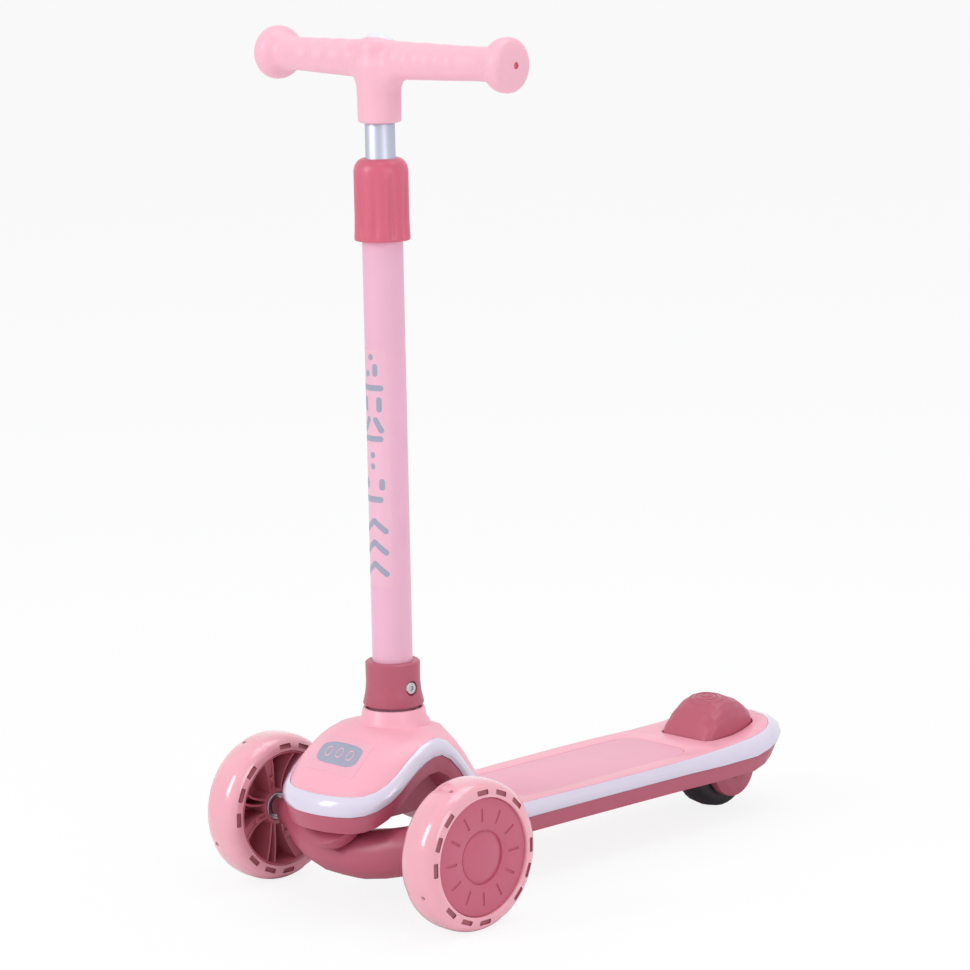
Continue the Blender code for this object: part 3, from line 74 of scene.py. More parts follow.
# ---- small tools -----------------------------------------------------------------------------
def only(piece):
    """Selects one piece and nothing else."""
    bpy.ops.object.select_all(action="DESELECT")
    piece.select_set(True)
    bpy.context.view_layer.objects.active = piece
    return piece


def settle(piece):
    """Moves a piece's place into its mesh, so that the object rests at the origin."""
    only(piece)
    if piece.data.users > 1:
        piece.data = piece.data.copy()
    bpy.ops.object.transform_apply(location=True, rotation=True, scale=True)
    return piece


def added(name):
    piece = bpy.context.active_object
    piece.name = name
    return piece


def with_modifier(piece, kind, **settings):
    """Adds one modifier and applies it."""
    only(piece)
    modifier = piece.modifiers.new(kind.title(), kind)
    for key, value in settings.items():
        setattr(modifier, key, value)
    bpy.ops.object.modifier_apply(modifier=modifier.name)
    return piece


def softened(piece, width, angle=35, segments=2):
    """Rounds every edge sharper than an angle, as a mould or a lathe leaves it."""
    return with_modifier(
        piece, "BEVEL", width=width, segments=segments, limit_method="ANGLE", angle_limit=math.radians(angle),
        use_clamp_overlap=True,
    )


def smooth(piece, angle=35):
    only(piece)
    bpy.ops.object.shade_smooth_by_angle(angle=math.radians(angle))
    return piece


def cut(piece, cutter):
    """Takes the cutter out of a piece. The faces that the cut leaves keep the cutter's material."""
    with_modifier(
        piece, "BOOLEAN", operation="DIFFERENCE", solver="EXACT", object=cutter, material_mode="TRANSFER",
    )
    bpy.data.objects.remove(cutter)
    return piece


def merged(pieces, name):
    """Several pieces in one mesh."""
    bpy.ops.object.select_all(action="DESELECT")
    for piece in pieces:
        piece.select_set(True)
    bpy.context.view_layer.objects.active = pieces[0]
    bpy.ops.object.join()
    return added(name)


def copied(piece, place, name=None):
    """A copy with its own mesh, moved by a matrix."""
    other = piece.copy()
    other.data = piece.data.copy()
    bpy.context.scene.collection.objects.link(other)
    other.matrix_world = place @ piece.matrix_world
    other.name = name or piece.name
    return settle(other)


def spun(name, profile, centre, axis=Z, side=X, steps=96, closed=False):
    """A round piece: profile points (height along the axis, radius) are extruded in turn, then spun."""
    def point(height, radius):
        return centre + axis * height + side * radius

    bpy.ops.object.select_all(action="DESELECT")
    bpy.ops.mesh.primitive_plane_add(size=MM, location=point(*profile[0]))
    piece = added(name)
    bpy.ops.object.mode_set(mode="EDIT")
    bpy.ops.mesh.merge(type="CENTER")
    outline = list(profile) + ([profile[0]] if closed else [])
    for before, after in zip(outline, outline[1:]):
        step = point(*after) - point(*before)
        bpy.ops.mesh.extrude_region_move(TRANSFORM_OT_translate={"value": step})
    bpy.ops.mesh.select_all(action="SELECT")
    bpy.ops.mesh.spin(steps=steps, angle=math.tau, center=centre, axis=axis)
    bpy.ops.mesh.select_all(action="SELECT")
    bpy.ops.mesh.remove_doubles(threshold=MM / 500)
    bpy.ops.mesh.normals_make_consistent(inside=False)
    bpy.ops.object.mode_set(mode="OBJECT")
    return settle(piece)


def block(name, size, place, bevel=0.0, segments=2):
    """A box of a given size with rounded edges, put in place by a matrix."""
    bpy.ops.object.select_all(action="DESELECT")
    bpy.ops.mesh.primitive_cube_add(size=1.0)
    piece = added(name)
    piece.scale = size
    settle(piece)
    if bevel:
        bpy.ops.object.mode_set(mode="EDIT")
        bpy.ops.mesh.select_all(action="SELECT")
        bpy.ops.mesh.bevel(offset=bevel, segments=segments, affect="EDGES")
        bpy.ops.object.mode_set(mode="OBJECT")
    piece.matrix_world = place
    return settle(piece)


# ---- materials -------------------------------------------------------------------------------
def colour(code):
    """A linear colour from an sRGB hex code."""
    values = [int(code[i:i + 2], 16) / 255 for i in (0, 2, 4)]
    return tuple(v / 12.92 if v <= 0.04045 else ((v + 0.055) / 1.055) ** 2.4 for v in values) + (1.0,)


def add(tree, kind, links=(), **settings):
    """One node with its settings. links name an input and the output that feeds it."""
    node = tree.nodes.new(kind)
    for key, value in settings.items():
        if key.startswith("in_"):
            node.inputs[key[3:].replace("_", " ")].default_value = value
        else:
            setattr(node, key, value)
    for name, output in links:
        tree.links.new(output, node.inputs[name])
    return node


def finish(
    name, base, roughness, grain=0.35, grain_depth=0.02, mottle=0.03, gloss_change=0.06, metallic=0.0, **extra
):
    """A moulded or painted finish: even colour with a faint mottle, and a fine surface grain.

    grain is the size of the surface texture in millimetres, and grain_depth its height in millimetres.
    """
    made = bpy.data.materials.new(name)
    made.use_nodes = True
    tree = made.node_tree
    shader = tree.nodes["Principled BSDF"]
    shader.inputs["Metallic"].default_value = metallic
    for key, value in extra.items():
        shader.inputs[key.replace("_", " ")].default_value = value
    place = add(tree, "ShaderNodeTexCoord").outputs["Object"]
    clouds = add(tree, "ShaderNodeTexNoise", [("Vector", place)], in_Scale=1 / (28 * MM), in_Detail=3.0)
    darker = [channel * (1 - mottle * 2) for channel in colour(base)[:3]] + [1.0]
    lighter = [min(1.0, channel * (1 + mottle)) for channel in colour(base)[:3]] + [1.0]
    blend = add(tree, "ShaderNodeMix", [("Factor", clouds.outputs["Fac"])], data_type="RGBA")
    blend.inputs["A"].default_value = darker
    blend.inputs["B"].default_value = lighter
    tree.links.new(blend.outputs[2], shader.inputs["Base Color"])
    sheen = add(
        tree, "ShaderNodeMapRange", [("Value", clouds.outputs["Fac"])],
        in_To_Min=roughness - gloss_change / 2, in_To_Max=roughness + gloss_change / 2,
    )
    tree.links.new(sheen.outputs["Result"], shader.inputs["Roughness"])
    grains = add(tree, "ShaderNodeTexNoise", [("Vector", place)], in_Scale=1 / (grain * MM), in_Detail=2.0)
    bump = add(
        tree, "ShaderNodeBump", [("Height", grains.outputs["Fac"])],
        in_Strength=1.0, in_Distance=grain_depth * MM,
    )
    tree.links.new(bump.outputs["Normal"], shader.inputs["Normal"])
    return made


# Injection-moulded ABS: an even colour with a soft gloss, and a slight waviness from the mould.
PINK_ABS = finish("pink_abs_satin", "F6AEC0", 0.36, grain=6.0, grain_depth=0.012, IOR=1.53)
ROSE_ABS = finish("rose_abs_satin", "B5556B", 0.38, grain=0.9, grain_depth=0.008, IOR=1.53)
CAP_ABS = finish("cap_abs_rose", "C45D76", 0.32, grain=0.9, grain_depth=0.004, IOR=1.53)
CLAMP_ABS = finish("clamp_abs_satin", "D5607A", 0.36, grain=0.9, grain_depth=0.008, IOR=1.53)
# The pad is the same plastic with a spark-eroded matt texture, drawn as 1.2 mm so that it shows.
PAD_ABS = finish("pad_abs_matt", "EFB0C4", 0.58, grain=1.2, grain_depth=0.03, IOR=1.50)
# Pearl polycarbonate: milky lilac-white, under a hard clear gloss.
PEARL_PC = finish(
    "pearl_polycarbonate", "D9D3E6", 0.20, grain=9.0, grain_depth=0.008, mottle=0.015,
    IOR=1.58, Coat_Weight=0.8, Coat_Roughness=0.04,
)
# Powder-coated steel tube: a smooth pink paint film with a little orange peel.
STEM_PAINT = finish("powder_coat_pink", "EDB6CE", 0.30, grain=1.2, grain_depth=0.0015, IOR=1.50)
# Polyurethane cast over a pink core: wet gloss over a soft, slightly deep colour.
CAST_PU = finish(
    "cast_polyurethane_pink", "EFAAB8", 0.20, grain=7.0, grain_depth=0.002, mottle=0.05,
    IOR=1.50, Coat_Weight=1.0, Coat_Roughness=0.02, Subsurface_Weight=0.25, Subsurface_Scale=0.004,
)
# Painted shade: a dark pink for the walls and floors of the tyre's window pockets, standing in for the shade
# inside them.
WINDOW_SHADE_PU = finish("window_polyurethane", "A85A66", 0.30, grain=2.0, grain_depth=0.02)
CORE_PC = finish("core_polycarbonate_rose", "C66C7C", 0.30, grain=2.0, grain_depth=0.01, IOR=1.58)
GRIP_TPE = finish("grip_elastomer", "F4B8C9", 0.42, grain=0.8, grain_depth=0.012, IOR=1.48)
WHITE_ABS = finish("cap_abs_white", "E6E6F2", 0.22, grain=3.0, grain_depth=0.006, IOR=1.53)
# Cast rubber for the rear tyre: nearly black and matt, with a faint mottle.
BLACK_TYRE = finish("rear_rubber_black", "2B2B31", 0.55, grain=0.7, grain_depth=0.03, mottle=0.10, IOR=1.52)
BLACK_NYLON = finish("nylon_black", "1C1C20", 0.45, grain=0.8, grain_depth=0.02)
ALUMINIUM = finish("aluminium_anodised", "BEC2D2", 0.46, grain=0.5, grain_depth=0.002, metallic=1.0)
ZINC = finish("steel_zinc_plated", "C2C3C8", 0.24, grain=0.6, grain_depth=0.006, metallic=1.0)
GREY_INK = finish("screen_ink_grey", "A0A3B8", 0.40, grain=0.8, grain_depth=0.004, IOR=1.50)
CLEAR_FILM = finish("label_film", "F0B0C2", 0.20, grain=5.0, grain_depth=0.01, IOR=1.50)
STEM_FILM = finish("stem_label_film", "EFB9CE", 0.14, grain=8.0, grain_depth=0.004, IOR=1.50)
# Painted shade: a darker coral for the walls of the vent hole in each grip end, standing in for the shade
# inside the hole.
VENT_SHADE_TPE = finish("vent_elastomer", "E07F8E", 0.60, grain=0.8, grain_depth=0.012, IOR=1.48)
LAMP_PC = finish("lamp_polycarbonate", "A8646F", 0.18, grain=3.0, grain_depth=0.006, IOR=1.58)
CIRCUIT = finish("circuit_laminate", "3E7A55", 0.40, grain=1.0, grain_depth=0.02)


def dressed(piece, material, body, slot, *nodes):
    """Gives a finished piece its material and body, and hides the CAD nodes that it stands for."""
    piece.data.materials.clear()
    piece.data.materials.append(material)
    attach(piece, body)
    if nodes:
        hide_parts(*nodes)
    return piece


# ---- CAD nodes that keep their shape -----------------------------------------------------------
def moulded(node, body, slot, material, bevel=0.4 * MM, angle=40):
    """A merged copy of a CAD node, with the small radius that its edges have."""
    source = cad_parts[node]
    piece = copied(source, Matrix.Identity(4), node + "_finished")
    only(piece)
    bpy.ops.object.mode_set(mode="EDIT")
    bpy.ops.mesh.select_all(action="SELECT")
    bpy.ops.mesh.remove_doubles(threshold=SAME_PLACE)
    bpy.ops.mesh.tris_convert_to_quads()
    bpy.ops.object.mode_set(mode="OBJECT")
    if bevel:
        softened(piece, bevel, angle)
    smooth(piece, angle)
    return dressed(piece, material, body, slot, node)


# ---- body, deck and brake -----------------------------------------------------------------------
def height_over(surface, x, y):
    """Height of a piece's top face over one place, or None beside it."""
    hit, place, _, _ = surface.ray_cast(Vector((x, y, 1.0)), -Z)
    return place.z if hit else None


def draped(piece, surface, lift):
    """Lays a flat piece over a surface: every vertex keeps its height above the piece's lowest one."""
    floor = min(vertex.co.z for vertex in piece.data.vertices)
    for vertex in piece.data.vertices:
        under = height_over(surface, vertex.co.x, vertex.co.y)
        vertex.co.z = (under if under is not None else floor) + lift + vertex.co.z - floor
    return piece


def rounded_sheet(name, half_x, half_y, thickness, centre, corner=5.0, steps=14):
    """A thin plate with a superellipse outline, cut into small faces so that it can be draped."""
    bpy.ops.object.select_all(action="DESELECT")
    bpy.ops.mesh.primitive_grid_add(x_subdivisions=steps, y_subdivisions=steps, size=2.0)
    piece = added(name)
    for vertex in piece.data.vertices:
        u, v = vertex.co.x, vertex.co.y
        spread = max(abs(u), abs(v)) / max(1e-6, (abs(u) ** corner + abs(v) ** corner) ** (1 / corner))
        vertex.co = (u * spread * half_x, v * spread * half_y, 0.0)
    only(piece)
    bpy.ops.object.mode_set(mode="EDIT")
    bpy.ops.mesh.select_all(action="SELECT")
    bpy.ops.mesh.extrude_region_move(TRANSFORM_OT_translate={"value": (0, 0, thickness)})
    bpy.ops.mesh.select_all(action="SELECT")
    bpy.ops.mesh.normals_make_consistent(inside=False)
    bpy.ops.object.mode_set(mode="OBJECT")
    piece.location = centre
    return settle(piece)


moulded("body_base", "base", "rose", ROSE_ABS)
SHELL = moulded("front_shell", "base", "pink", PINK_ABS)
moulded("light_strip", "base", "lilac", PEARL_PC)
moulded("deck_cover", "base", "pink", PINK_ABS)
moulded("deck_pad", "base", "pink_soft", PAD_ABS)
moulded("lower_collar", "base", "rose", ROSE_ABS, bevel=0.8 * MM)
moulded("collar_bolt", "base", "steel", ZINC, bevel=0.3 * MM)
moulded("rear_axle_bolt", "base", "black", BLACK_NYLON, bevel=0.3 * MM)
moulded("axle_beam", "axle", "rose", ROSE_ABS)
moulded("steering_collar", "axle", "rose", ROSE_ABS, bevel=0.8 * MM)
moulded("rear_tyre", "rear_wheel", "black", BLACK_TYRE, bevel=0)


FILM_HALF = (28.0 * MM, 12.5 * MM)      # the nose label, from its middle to its edges
PILL_HALF = (22.5 * MM, 7.8 * MM)       # the pill printed on it
RING_PLACES = (-12.0, 0.0, 12.0)        # millimetres from the pill's middle


def nose_label():
    """A clear film on the nose with one grey pill printed on it, and no lettering."""
    place = middle("nose_badge")
    place.y += 2.0 * MM
    film = rounded_sheet("nose_film", *FILM_HALF, 0.12 * MM, place, corner=14.0, steps=28)
    draped(film, SHELL, 0.10 * MM)
    dressed(smooth(film), CLEAR_FILM, "base", "pink")
    pill = rounded_sheet("nose_pill", *PILL_HALF, 0.10 * MM, place + X * MM, corner=3.6, steps=28)
    draped(pill, SHELL, 0.26 * MM)
    dressed(smooth(pill), GREY_INK, "base", "grey", "nose_badge")
    rings = []
    for i, reach in enumerate(RING_PLACES):
        bpy.ops.object.select_all(action="DESELECT")
        bpy.ops.mesh.primitive_torus_add(
            major_radius=3.2 * MM, minor_radius=0.35 * MM, major_segments=32, minor_segments=8,
            location=place + X * (reach + 1.0) * MM,
        )
        rings.append(settle(added(f"pill_ring_{i}")))
    rings = merged(rings, "nose_pill_rings")
    draped(rings, SHELL, 0.1 * MM)
    dressed(smooth(rings), CLEAR_FILM, "base", "pink")


nose_label()


OVAL_SECTION = 0.05        # section radius of the ring that an oval starts from, 1 across
OVAL_HALF = 0.55 * MM      # half the thickness of a finished oval
OVALS = ((16.0, 12.5), (10.5, 8.0), (5.2, 3.8))      # half widths of each, in millimetres
PEDAL_VOXEL = 0.75 * MM


def brake():
    """The pedal as one soft moulding, with three plain ovals raised on it as grip."""
    pedal = copied(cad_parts["brake_pedal"], Matrix.Identity(4), "brake_pedal_finished")
    only(pedal)
    bpy.ops.object.mode_set(mode="EDIT")
    bpy.ops.mesh.select_all(action="SELECT")
    bpy.ops.mesh.remove_doubles(threshold=SAME_PLACE)
    bpy.ops.object.mode_set(mode="OBJECT")
    with_modifier(pedal, "REMESH", mode="VOXEL", voxel_size=PEDAL_VOXEL, use_smooth_shade=True)
    with_modifier(pedal, "SMOOTH", factor=0.5, iterations=14)
    smooth(pedal, 60)
    centre = middle("brake_pedal")
    ovals = []
    for i, (half_x, half_y) in enumerate(OVALS):
        bpy.ops.object.select_all(action="DESELECT")
        bpy.ops.mesh.primitive_torus_add(
            major_radius=1.0, minor_radius=OVAL_SECTION, major_segments=64, minor_segments=8,
        )
        oval = added(f"brake_oval_{i}")
        for vertex in oval.data.vertices:
            around = math.hypot(vertex.co.x, vertex.co.y)
            turn = math.atan2(vertex.co.y, vertex.co.x)
            wide = (around - 1.0) / OVAL_SECTION * OVAL_HALF
            vertex.co.x = (half_x * MM + wide) * math.cos(turn)
            vertex.co.y = (half_y * MM + wide) * math.sin(turn)
            vertex.co.z = vertex.co.z / OVAL_SECTION * OVAL_HALF
        oval.location = (0, centre.y + 0.5 * MM, centre.z)
        ovals.append(settle(oval))
    ovals = merged(ovals, "brake_grip_ovals")
    draped(ovals, pedal, -OVAL_HALF)
    dressed(pedal, ROSE_ABS, "brake", "rose", "brake_pedal")
    dressed(smooth(ovals, 60), ROSE_ABS, "brake", "rose")


brake()


# ---- stem ---------------------------------------------------------------------------------------
TUBE_R = (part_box("outer_tube")[1][0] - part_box("outer_tube")[0][0]) / 2
TUBE_LOW, TUBE_TOP = low_of("outer_tube"), top_of("outer_tube")


def stem_tube():
    profile = [
        (TUBE_LOW, TUBE_R - 2.0 * MM), (TUBE_LOW, TUBE_R - 0.4 * MM), (TUBE_LOW + 0.4 * MM, TUBE_R),
        (TUBE_TOP - 0.4 * MM, TUBE_R), (TUBE_TOP, TUBE_R - 0.4 * MM), (TUBE_TOP, TUBE_R - 2.0 * MM),
    ]
    tube = spun("stem_tube", profile, STEM, steps=96, closed=True)
    dressed(smooth(tube), STEM_PAINT, "base", "stem_pink", "outer_tube")


def round_tube(points, lift):
    """Wraps a flat sheet round the front of the stem: x becomes arc length, and z stays."""
    for vertex in points.data.vertices:
        turn = vertex.co.x / TUBE_R
        out = TUBE_R + lift + vertex.co.y
        vertex.co = (STEM.x + out * math.sin(turn), STEM.y - out * math.cos(turn), vertex.co.z)
    return points


def ink_stroke(name, length, width, across, along, tilt):
    """One printed stroke with round ends, flat in the x-z plane, turned by tilt degrees from upright."""
    bpy.ops.object.select_all(action="DESELECT")
    bpy.ops.mesh.primitive_grid_add(x_subdivisions=8, y_subdivisions=24, size=1.0)
    stroke = added(name)
    straight = length / 2 - width / 2
    for vertex in stroke.data.vertices:
        up = vertex.co.y * length
        past = max(0.0, abs(up) - straight) / (width / 2)
        side = vertex.co.x * width * math.sqrt(max(0.02, 1 - past * past))
        lean = math.radians(tilt)
        vertex.co = (
            across + side * math.cos(lean) + up * math.sin(lean),
            0.0,
            along - side * math.sin(lean) + up * math.cos(lean),
        )
    return stroke


FILM_WRAP = 31             # millimetres round the stem,
FILM_MIDDLE = 346          # above the floor at its middle,
FILM_LENGTH = 188          # and up the stem


def stem_print():
    """A column of plain grey strokes, chevrons and dots printed up the front of the stem."""
    strokes = []

    def stroke(length, width, across, along, tilt=0.0):
        name = f"stroke_{len(strokes)}"
        strokes.append(ink_stroke(name, length * MM, width * MM, across * MM, along * MM, tilt))

    for low in (262, 279, 296):
        stroke(17, 4.6, -5.2, low + 5, 52)
        stroke(17, 4.6, 5.2, low + 5, -52)
    stroke(22, 4.8, -2.0, 322, 90)
    stroke(9, 4.8, -8.0, 334)
    stroke(9, 4.8, 8.0, 334)
    for along in (348, 357):
        stroke(5, 4.9, 0.0, along)
    stroke(20, 4.6, 0.0, 370, 90)
    stroke(14, 4.6, -6.0, 381, 30)
    stroke(14, 4.6, 6.0, 381, -30)
    for across, along in ((-7.0, 397), (7.0, 397)):
        stroke(12, 4.6, across, along)
    stroke(22, 4.6, 0.0, 410, 90)
    stroke(5, 4.9, -4.0, 421)
    stroke(10, 4.6, 4.0, 424)
    stroke(5, 4.9, 0.0, 434)
    ink = merged(strokes, "stem_print")
    settle(ink)
    round_tube(ink, 0.10 * MM)
    dressed(smooth(ink), GREY_INK, "base", "grey")
    bpy.ops.object.select_all(action="DESELECT")
    bpy.ops.mesh.primitive_grid_add(x_subdivisions=32, y_subdivisions=4, size=1.0)
    film = added("stem_film")
    for vertex in film.data.vertices:
        vertex.co = (vertex.co.x * FILM_WRAP * MM, 0.0, (FILM_MIDDLE + vertex.co.y * FILM_LENGTH) * MM)
    round_tube(film, 0.05 * MM)
    with_modifier(film, "SOLIDIFY", thickness=0.04 * MM, offset=-1.0)
    dressed(smooth(film), STEM_FILM, "base", "stem_pink")


stem_tube()
stem_print()


def sliding_tube():
    low, top = low_of("inner_tube"), top_of("inner_tube")
    radius = (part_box("inner_tube")[1][0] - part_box("inner_tube")[0][0]) / 2
    profile = [
        (low, radius - 1.4 * MM), (low, radius - 0.2 * MM), (low + 0.3 * MM, radius),
        (top - 0.3 * MM, radius), (top, radius - 0.2 * MM), (top, radius - 1.4 * MM),
    ]
    tube = spun("sliding_tube", profile, STEM, steps=96, closed=True)
    dressed(smooth(tube), ALUMINIUM, "handle", "aluminium", "inner_tube")


sliding_tube()

# ---- clamp ----------------------------------------------------------------------------------------
FLUTES = 10
FLUTE_DEPTH = 1.7 * MM


def clamp():
    """The twist clamp: a domed sleeve with shallow flutes that open towards its foot."""
    low, top = low_of("clamp_collar"), top_of("clamp_collar")
    bore = TUBE_R + 0.3 * MM
    profile = [
        (top - 0.4 * MM, 12.6 * MM), (top, 13.6 * MM), (top - 0.4 * MM, 15.4 * MM),
        (top - 1.6 * MM, 17.4 * MM),
        (top - 3.4 * MM, 19.1 * MM), (top - 6.0 * MM, 20.6 * MM), (top - 9.5 * MM, 21.3 * MM),
        (top - 14 * MM, 21.4 * MM), (low + 16 * MM, 21.5 * MM), (low + 6 * MM, 21.8 * MM),
        (low + 2.2 * MM, 22.0 * MM),
        (low + 0.8 * MM, 21.9 * MM), (low, 21.2 * MM), (low, bore + 0.4 * MM), (low + 0.4 * MM, bore),
        (low + 21 * MM, bore),
        (low + 21 * MM, 14.2 * MM), (top - 5 * MM, 14.2 * MM), (top - 5 * MM, 12.2 * MM),
        (top - 1.2 * MM, 12.2 * MM),
    ]
    sleeve = spun("twist_clamp", profile, STEM, steps=120, closed=True)
    for vertex in sleeve.data.vertices:
        flat = Vector((vertex.co.x - STEM.x, vertex.co.y - STEM.y, 0))
        if flat.length < 20 * MM:
            continue
        share = (vertex.co.z - low) / (top - low)
        fade = min(1.0, max(0.0, (0.80 - share) / 0.12)) * min(1.0, max(0.0, share / 0.10))
        wave = 0.5 - 0.5 * math.cos(math.atan2(flat.y, flat.x) * FLUTES + 0.6)
        vertex.co -= flat.normalized() * FLUTE_DEPTH * fade * wave ** 2.6
    dressed(smooth(sleeve, 45), CLAMP_ABS, "clamp", "clamp_rose", "clamp_collar")


clamp()

# ---- handlebar ------------------------------------------------------------------------------------
BAR_Z = middle("handlebar_tube").z
BAR_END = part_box("handlebar_grip")[1][0]
SWEEP = math.radians(5.2)
SCALLOP_PITCH = 21 * MM
SCALLOP_START = 6 * MM
SCALLOP_DEPTH = 2.6 * MM
HUB_R = 16.8 * MM
BUTTON_R = 15.4 * MM
BUTTON_H = 8.0 * MM
JOINT_BLEND = 15 * MM          # reach of the soft corner between hub and bar
JOINT_REACH = 46 * MM          # how far along the bar,
JOINT_DROP = 42 * MM           # and how far down the hub, the corner is filled
BAR_R = 15.2                   # millimetres, at the hub
BAR_TAPER = 0.030              # millimetres of radius lost for each millimetre outwards
REST_FACING = Vector((0, -0.92, 0.38))
GRIP_VOXEL = 0.95 * MM


def grip_side(side):
    """One side of the grip: a bar that thins outwards, ending in a mushroom-shaped stop."""
    axis = Vector((side * math.cos(SWEEP), math.sin(SWEEP), 0))
    reach = BAR_END / math.cos(SWEEP) - 0.4 * MM
    knob = reach - 23.0 * MM
    profile = [
        (0.0, 0.0), (0.0, 15.4 * MM), (22 * MM, 14.7 * MM), (60 * MM, 14.0 * MM), (knob - 14 * MM, 13.1 * MM),
        (knob - 2 * MM, 13.5 * MM), (knob + 1.2 * MM, 14.8 * MM), (knob + 3.4 * MM, 17.0 * MM),
        (knob + 6.4 * MM, 19.4 * MM), (knob + 10.0 * MM, 20.8 * MM), (reach - 9.0 * MM, 21.2 * MM),
        (reach - 5.8 * MM, 20.9 * MM), (reach - 3.2 * MM, 19.4 * MM), (reach - 1.6 * MM, 16.6 * MM),
        (reach - 0.6 * MM, 11.0 * MM), (reach - 0.2 * MM, 4.0 * MM), (reach - 0.2 * MM, 0.0),
    ]
    return spun(f"grip_side_{side}", profile, Vector((0, STEM.y, BAR_Z)), axis=axis, side=Z, steps=96)


def grip_hub():
    """The upright part of the T: a plain sleeve under a full dome."""
    low, top = low_of("handlebar_grip"), top_of("handlebar_grip")
    profile = [
        (low, 0.0), (low, HUB_R - 1.0 * MM), (low + 0.3 * MM, HUB_R - 0.3 * MM), (low + 1.0 * MM, HUB_R),
        (BAR_Z, HUB_R + 0.8 * MM), (top - 10.0 * MM, HUB_R + 0.6 * MM), (top - 7.2 * MM, 16.4 * MM),
        (top - 5.0 * MM, 14.4 * MM), (top - 3.6 * MM, 11.4 * MM), (top - 2.9 * MM, 7.5 * MM),
        (top - 2.7 * MM, 0.0),
    ]
    return spun("grip_hub", profile, STEM, steps=96)


def bar_gap(place):
    """Distance from a place to the bar's surface, taken square to the bar."""
    along = abs(place.x)
    drop = place - Vector((place.x, STEM.y + math.tan(SWEEP) * along, BAR_Z))
    return drop.length - (BAR_R - BAR_TAPER * along / MM) * MM


def joint_gap(place):
    """Distance to the soft union of hub and bar."""
    hub = Vector((place.x, place.y - STEM.y)).length - HUB_R
    bar = bar_gap(place)
    share = max(JOINT_BLEND - abs(hub - bar), 0.0) / JOINT_BLEND
    return min(hub, bar) - share * share * JOINT_BLEND / 4


def soften_joint(piece):
    """Fills the corner under the bar: points near it move out to the soft union's surface."""
    for vertex in piece.data.vertices:
        place = vertex.co.copy()
        fade = min(1.0, max(0.0, (BAR_Z + 4 * MM - place.z) / (8 * MM)))
        if fade == 0.0 or abs(place.x) > JOINT_REACH or place.z < BAR_Z - JOINT_DROP:
            continue
        for _ in range(3):
            gap = joint_gap(place)
            slope = Vector([joint_gap(place + axis * 0.1 * MM) - gap for axis in (X, Y, Z)])
            if gap >= 0 or slope.length == 0:
                break
            place -= slope.normalized() * gap
        vertex.co += (place - vertex.co) * fade
    return piece


def scallop(piece):
    """Four shallow finger rests along the front of each side, and none under the stops."""
    first, last = SCALLOP_START, SCALLOP_START + 4 * SCALLOP_PITCH
    for vertex in piece.data.vertices:
        along = abs(vertex.co.x)
        if not first < along < last:
            continue
        middle_y = STEM.y + math.tan(SWEEP) * along
        out = Vector((0, vertex.co.y - middle_y, vertex.co.z - BAR_Z))
        facing = max(0.0, out.normalized().dot(REST_FACING)) if out.length > 5 * MM else 0.0
        wave = 0.5 - 0.5 * math.cos(math.tau * (along - first) / SCALLOP_PITCH)
        vertex.co -= out.normalized() * SCALLOP_DEPTH * wave * facing ** 1.5


def button_seat():
    """Centre and axis of the oval button, which faces up and back."""
    tilt = math.radians(38)
    across = Vector((0, math.cos(tilt), -math.sin(tilt)))
    return middle("handle_cap") + across * 2.6 * MM, Vector((0, math.sin(tilt), math.cos(tilt)))


def handlebar():
    body = merged([grip_side(1), grip_side(-1), grip_hub()], "grip_moulding")
    with_modifier(body, "REMESH", mode="VOXEL", voxel_size=GRIP_VOXEL, use_smooth_shade=True)
    with_modifier(body, "SMOOTH", factor=0.5, iterations=6)
    soften_joint(body)
    scallop(body)
    with_modifier(body, "SMOOTH", factor=0.5, iterations=6)
    low = low_of("handlebar_grip")
    start, end, bore_r = low - 5 * MM, low + 34 * MM, 12.0 * MM
    cut(body, spun("grip_bore", [(start, 0), (start, bore_r), (end, bore_r), (end, 0)], STEM))
    centre, axis = button_seat()
    seat_r = BUTTON_R + 0.3 * MM
    seat_profile = [(-BUTTON_H, 0.0), (-BUTTON_H, seat_r), (30 * MM, seat_r), (30 * MM, 0.0)]
    cut(body, spun("button_seat", seat_profile, centre, axis=axis, side=X, steps=64))
    for side in (-1, 1):
        axis = Vector((side * math.cos(SWEEP), math.sin(SWEEP), 0))
        reach = BAR_END / math.cos(SWEEP)
        vent_profile = [
            (reach - 2.4 * MM, 0), (reach - 2.4 * MM, 2.5 * MM), (reach + 4 * MM, 3.3 * MM),
            (reach + 4 * MM, 0),
        ]
        vent = spun("grip_vent", vent_profile, Vector((0, STEM.y, BAR_Z)), axis=axis, side=Z, steps=32)
        # The hole's walls take the coral of painted shade.
        vent.data.materials.append(VENT_SHADE_TPE)
        body.data.materials.clear()
        body.data.materials.append(GRIP_TPE)
        cut(body, vent)
    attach(body, "handle")
    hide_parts("handlebar_grip")
    smooth(body, 50)


handlebar()


def cap_on_hub():
    """A glossy domed button set in the top of the hub."""
    centre, axis = button_seat()
    profile = [
        (4.6 * MM, 0.0), (4.4 * MM, 5.0 * MM), (3.6 * MM, 9.6 * MM), (2.4 * MM, 12.6 * MM),
        (1.0 * MM, 14.5 * MM),
        (-0.5 * MM, BUTTON_R), (0.3 * MM - BUTTON_H, BUTTON_R), (0.3 * MM - BUTTON_H, 0.0),
    ]
    button = spun("hub_button", profile, centre, axis=axis, side=X, steps=64)
    dressed(smooth(button, 45), WHITE_ABS, "handle", "white", "handle_cap")


cap_on_hub()

# ---- front wheels -----------------------------------------------------------------------------------
SPOTS = 16                 # places round the tyre's side: twelve windows and four lamps
LAMP_SPOTS = (1, 5, 9, 13)
LIP_R = 46.8 * MM
TICKS = 12
WINDOW_R = 51.2 * MM       # middle of a window, from the axle
RIB_INNER = 14.0           # ribs and webs run from here, in millimetres from the axle,
RIB_LENGTH = 31.2          # for this far
RIB_PAIRS = 8
RIB_ASIDE = 3.2            # millimetres from the middle of a pair to each rib


